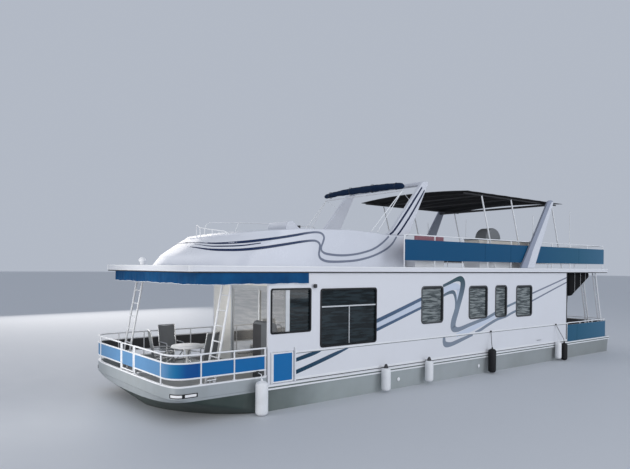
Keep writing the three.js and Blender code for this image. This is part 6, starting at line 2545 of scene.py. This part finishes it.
@dataclass
class Stern:
    """The stair, the engine hatch and what the sea hides: engines, drives and propellers."""

    def build(self, nodes: dict[str, Piece]) -> None:
        """Builds and dresses the stern.

        Args:
            nodes: The frame's nodes.
        """
        dress(nodes["engines"], ENGINE_BLACK)
        for name, _ in SIDES:
            dress(nodes[f"drive_{name}"], DRIVE_BLACK)
            dress(nodes[f"propeller_{name}"], PROPELLER)
        self.build_hatch()
        self.build_stair()

    def build_hatch(self) -> None:
        """The engine hatch with a frame, a flush ring and hinges."""
        low, high = (-9.137, -1.037, 0.51), (-7.663, 1.037, 0.552)
        lid = block("hatch_lid", low, high, 0.004)
        profile = [(0.03, 0), (0.045, 0.004), (0.05, 0), (0.045, -0.004), (0.03, 0)]
        ring = turned("hatch_ring", profile, (-9.0, 0, 0.553))
        parts = [lid]
        for k, y in enumerate((-0.7, 0.7)):
            line = [(-7.665, y - 0.08, 0.552), (-7.665, y + 0.08, 0.552)]
            parts.append(tube(f"hatch_hinge_{k}", line, 0.008))
        fit(joined("hatch_cover", parts), LID_METAL, "engine_hatch", ["engine_hatch"])
        fit(ring, ANODISED, "engine_hatch")

    def build_stair(self) -> None:
        """The stair up through the roof."""
        y0, y1, z0, top = -2.17, -1.45, 0.5503, 3.35
        foot, head, deep, count = -8.7, -6.71, 0.22, 10
        slope = (top - z0) / (head - foot)
        outline = [(foot - deep, z0), (foot, z0), (head, top - 0.02), (head - deep, top - 0.02)]
        parts = []
        for k, (a, b) in enumerate(((y0, y0 + 0.04), (y1 - 0.04, y1))):
            parts.append(slab(f"stringer_{k}", outline, Axis.Y, a, b, 0.006))
        fit(joined("stair_stringers", parts), WHITE_TUBE, replaces=["stern_stair"])
        treads = []
        for k in range(1, count + 1):
            z = z0 + (top - z0) * k / (count + 1)
            x = foot - deep + (z - z0) / slope
            low, high = (x - 0.01, y0 + 0.03, z - 0.03), (x + deep + 0.01, y1 - 0.03, z)
            treads.append(block(f"tread_{k}", low, high, 0.006))
        fit(joined("stair_treads", treads), BLACK_PLASTIC_AND_PAINTED_SHADE)


# Studio


@dataclass
class Studio:
    """The camera at the photograph's angle, soft lights and a plain pale floor at the waterline."""

    eye: Point = (14.64, 13.46, 3.33)
    yaw: float = 51.3
    pitch: float = -0.55
    roll: float = 0.46
    lens: float = 33.18
    shift: float = 0.0606

    def build(self) -> None:
        """Sets up the camera, the lights and the floor."""
        self.build_camera()
        self.build_lights()
        deselect()
        bpy.ops.mesh.primitive_plane_add(size=600)
        floor = settle("pale_floor")
        finish = Finish(
            "floor_paint", "white_paint", (0.62, 0.64, 0.67), 0.6, amount=0.0, relief=0.0, gloss=0.2
        )
        floor.data.materials.append(finish.material())

    def build_camera(self) -> None:
        """The camera, turned by its yaw, pitch and roll."""
        yaw, pitch, roll = (math.radians(a) for a in (self.yaw, self.pitch, self.roll))
        way = Vector((-math.cos(yaw) * math.cos(pitch), -math.sin(yaw) * math.cos(pitch), math.sin(pitch)))
        level = way.cross(Vector((0, 0, 1))).normalized()
        upright = level.cross(way)
        right = level * math.cos(roll) + upright * math.sin(roll)
        up = upright * math.cos(roll) - level * math.sin(roll)
        bpy.ops.object.camera_add(location=self.eye)
        camera = bpy.context.active_object
        camera.rotation_euler = Matrix((right, up, -way)).transposed().to_euler()
        camera.data.lens = self.lens
        camera.data.sensor_width = 36
        camera.data.shift_y = self.shift
        camera.data.clip_end = 500
        bpy.context.scene.camera = camera

    def build_lights(self) -> None:
        """An even pale surround, three large soft lamps and a small one that lights the porch."""
        world = bpy.data.worlds.new("studio")
        world.use_nodes = True
        world.node_tree.nodes["Background"].inputs["Color"].default_value = (0.80, 0.87, 1.0, 1)
        world.node_tree.nodes["Background"].inputs["Strength"].default_value = 0.56
        bpy.context.scene.world = world
        bpy.context.scene.view_settings.view_transform = "Standard"
        lamps = (
            ("key", (18, 24, 12), 18, 1500, 180, (1.0, 0.97, 0.94)),
            ("fill", (-8, 30, 8.5), 16, 2450, 180, (0.93, 0.96, 1.0)),
            ("back", (2, -26, 10), 18, 1700, 180, (1.0, 0.95, 0.9)),
            ("porch", (19, 0.5, 2.0), 3, 52, 40, (1.0, 0.98, 0.94)),
        )
        for name, place, size, power, spread, color in lamps:
            deselect()
            bpy.ops.object.light_add(type="AREA", location=place)
            lamp = bpy.context.active_object
            lamp.name = f"lamp_{name}"
            lamp.data.size = size
            lamp.data.energy = power
            lamp.data.spread = math.radians(spread)
            lamp.data.color = color
            lamp.rotation_euler = (Vector((0, 0, 1.5)) - Vector(place)).to_track_quat("-Z", "Y").to_euler()


def main() -> None:
    """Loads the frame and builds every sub-assembly in order."""
    logging.basicConfig(level=logging.INFO, format="%(name)s: %(message)s")
    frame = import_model()
    nodes = frame["nodes"]
    steps: list[tuple[str, Callable[[], None]]] = [
        ("studio", Studio().build),
        ("hull", Hull().build),
        ("cabin", lambda: Cabin().build(nodes)),
        ("roof", Roof().build),
        ("cowl", Cowl().build),
        ("arches", Arches().build),
        ("bridge", Bridge().build),
        ("canopy", Canopy().build),
        ("roof deck", RoofDeck().build),
        ("rails", Rails().build),
        ("front deck", FrontDeck().build),
        ("fenders", Fenders().build),
        ("stern", lambda: Stern().build(nodes)),
    ]
    for name, build in steps:
        build()
    deselect()


if __name__ == "__main__":
    main()
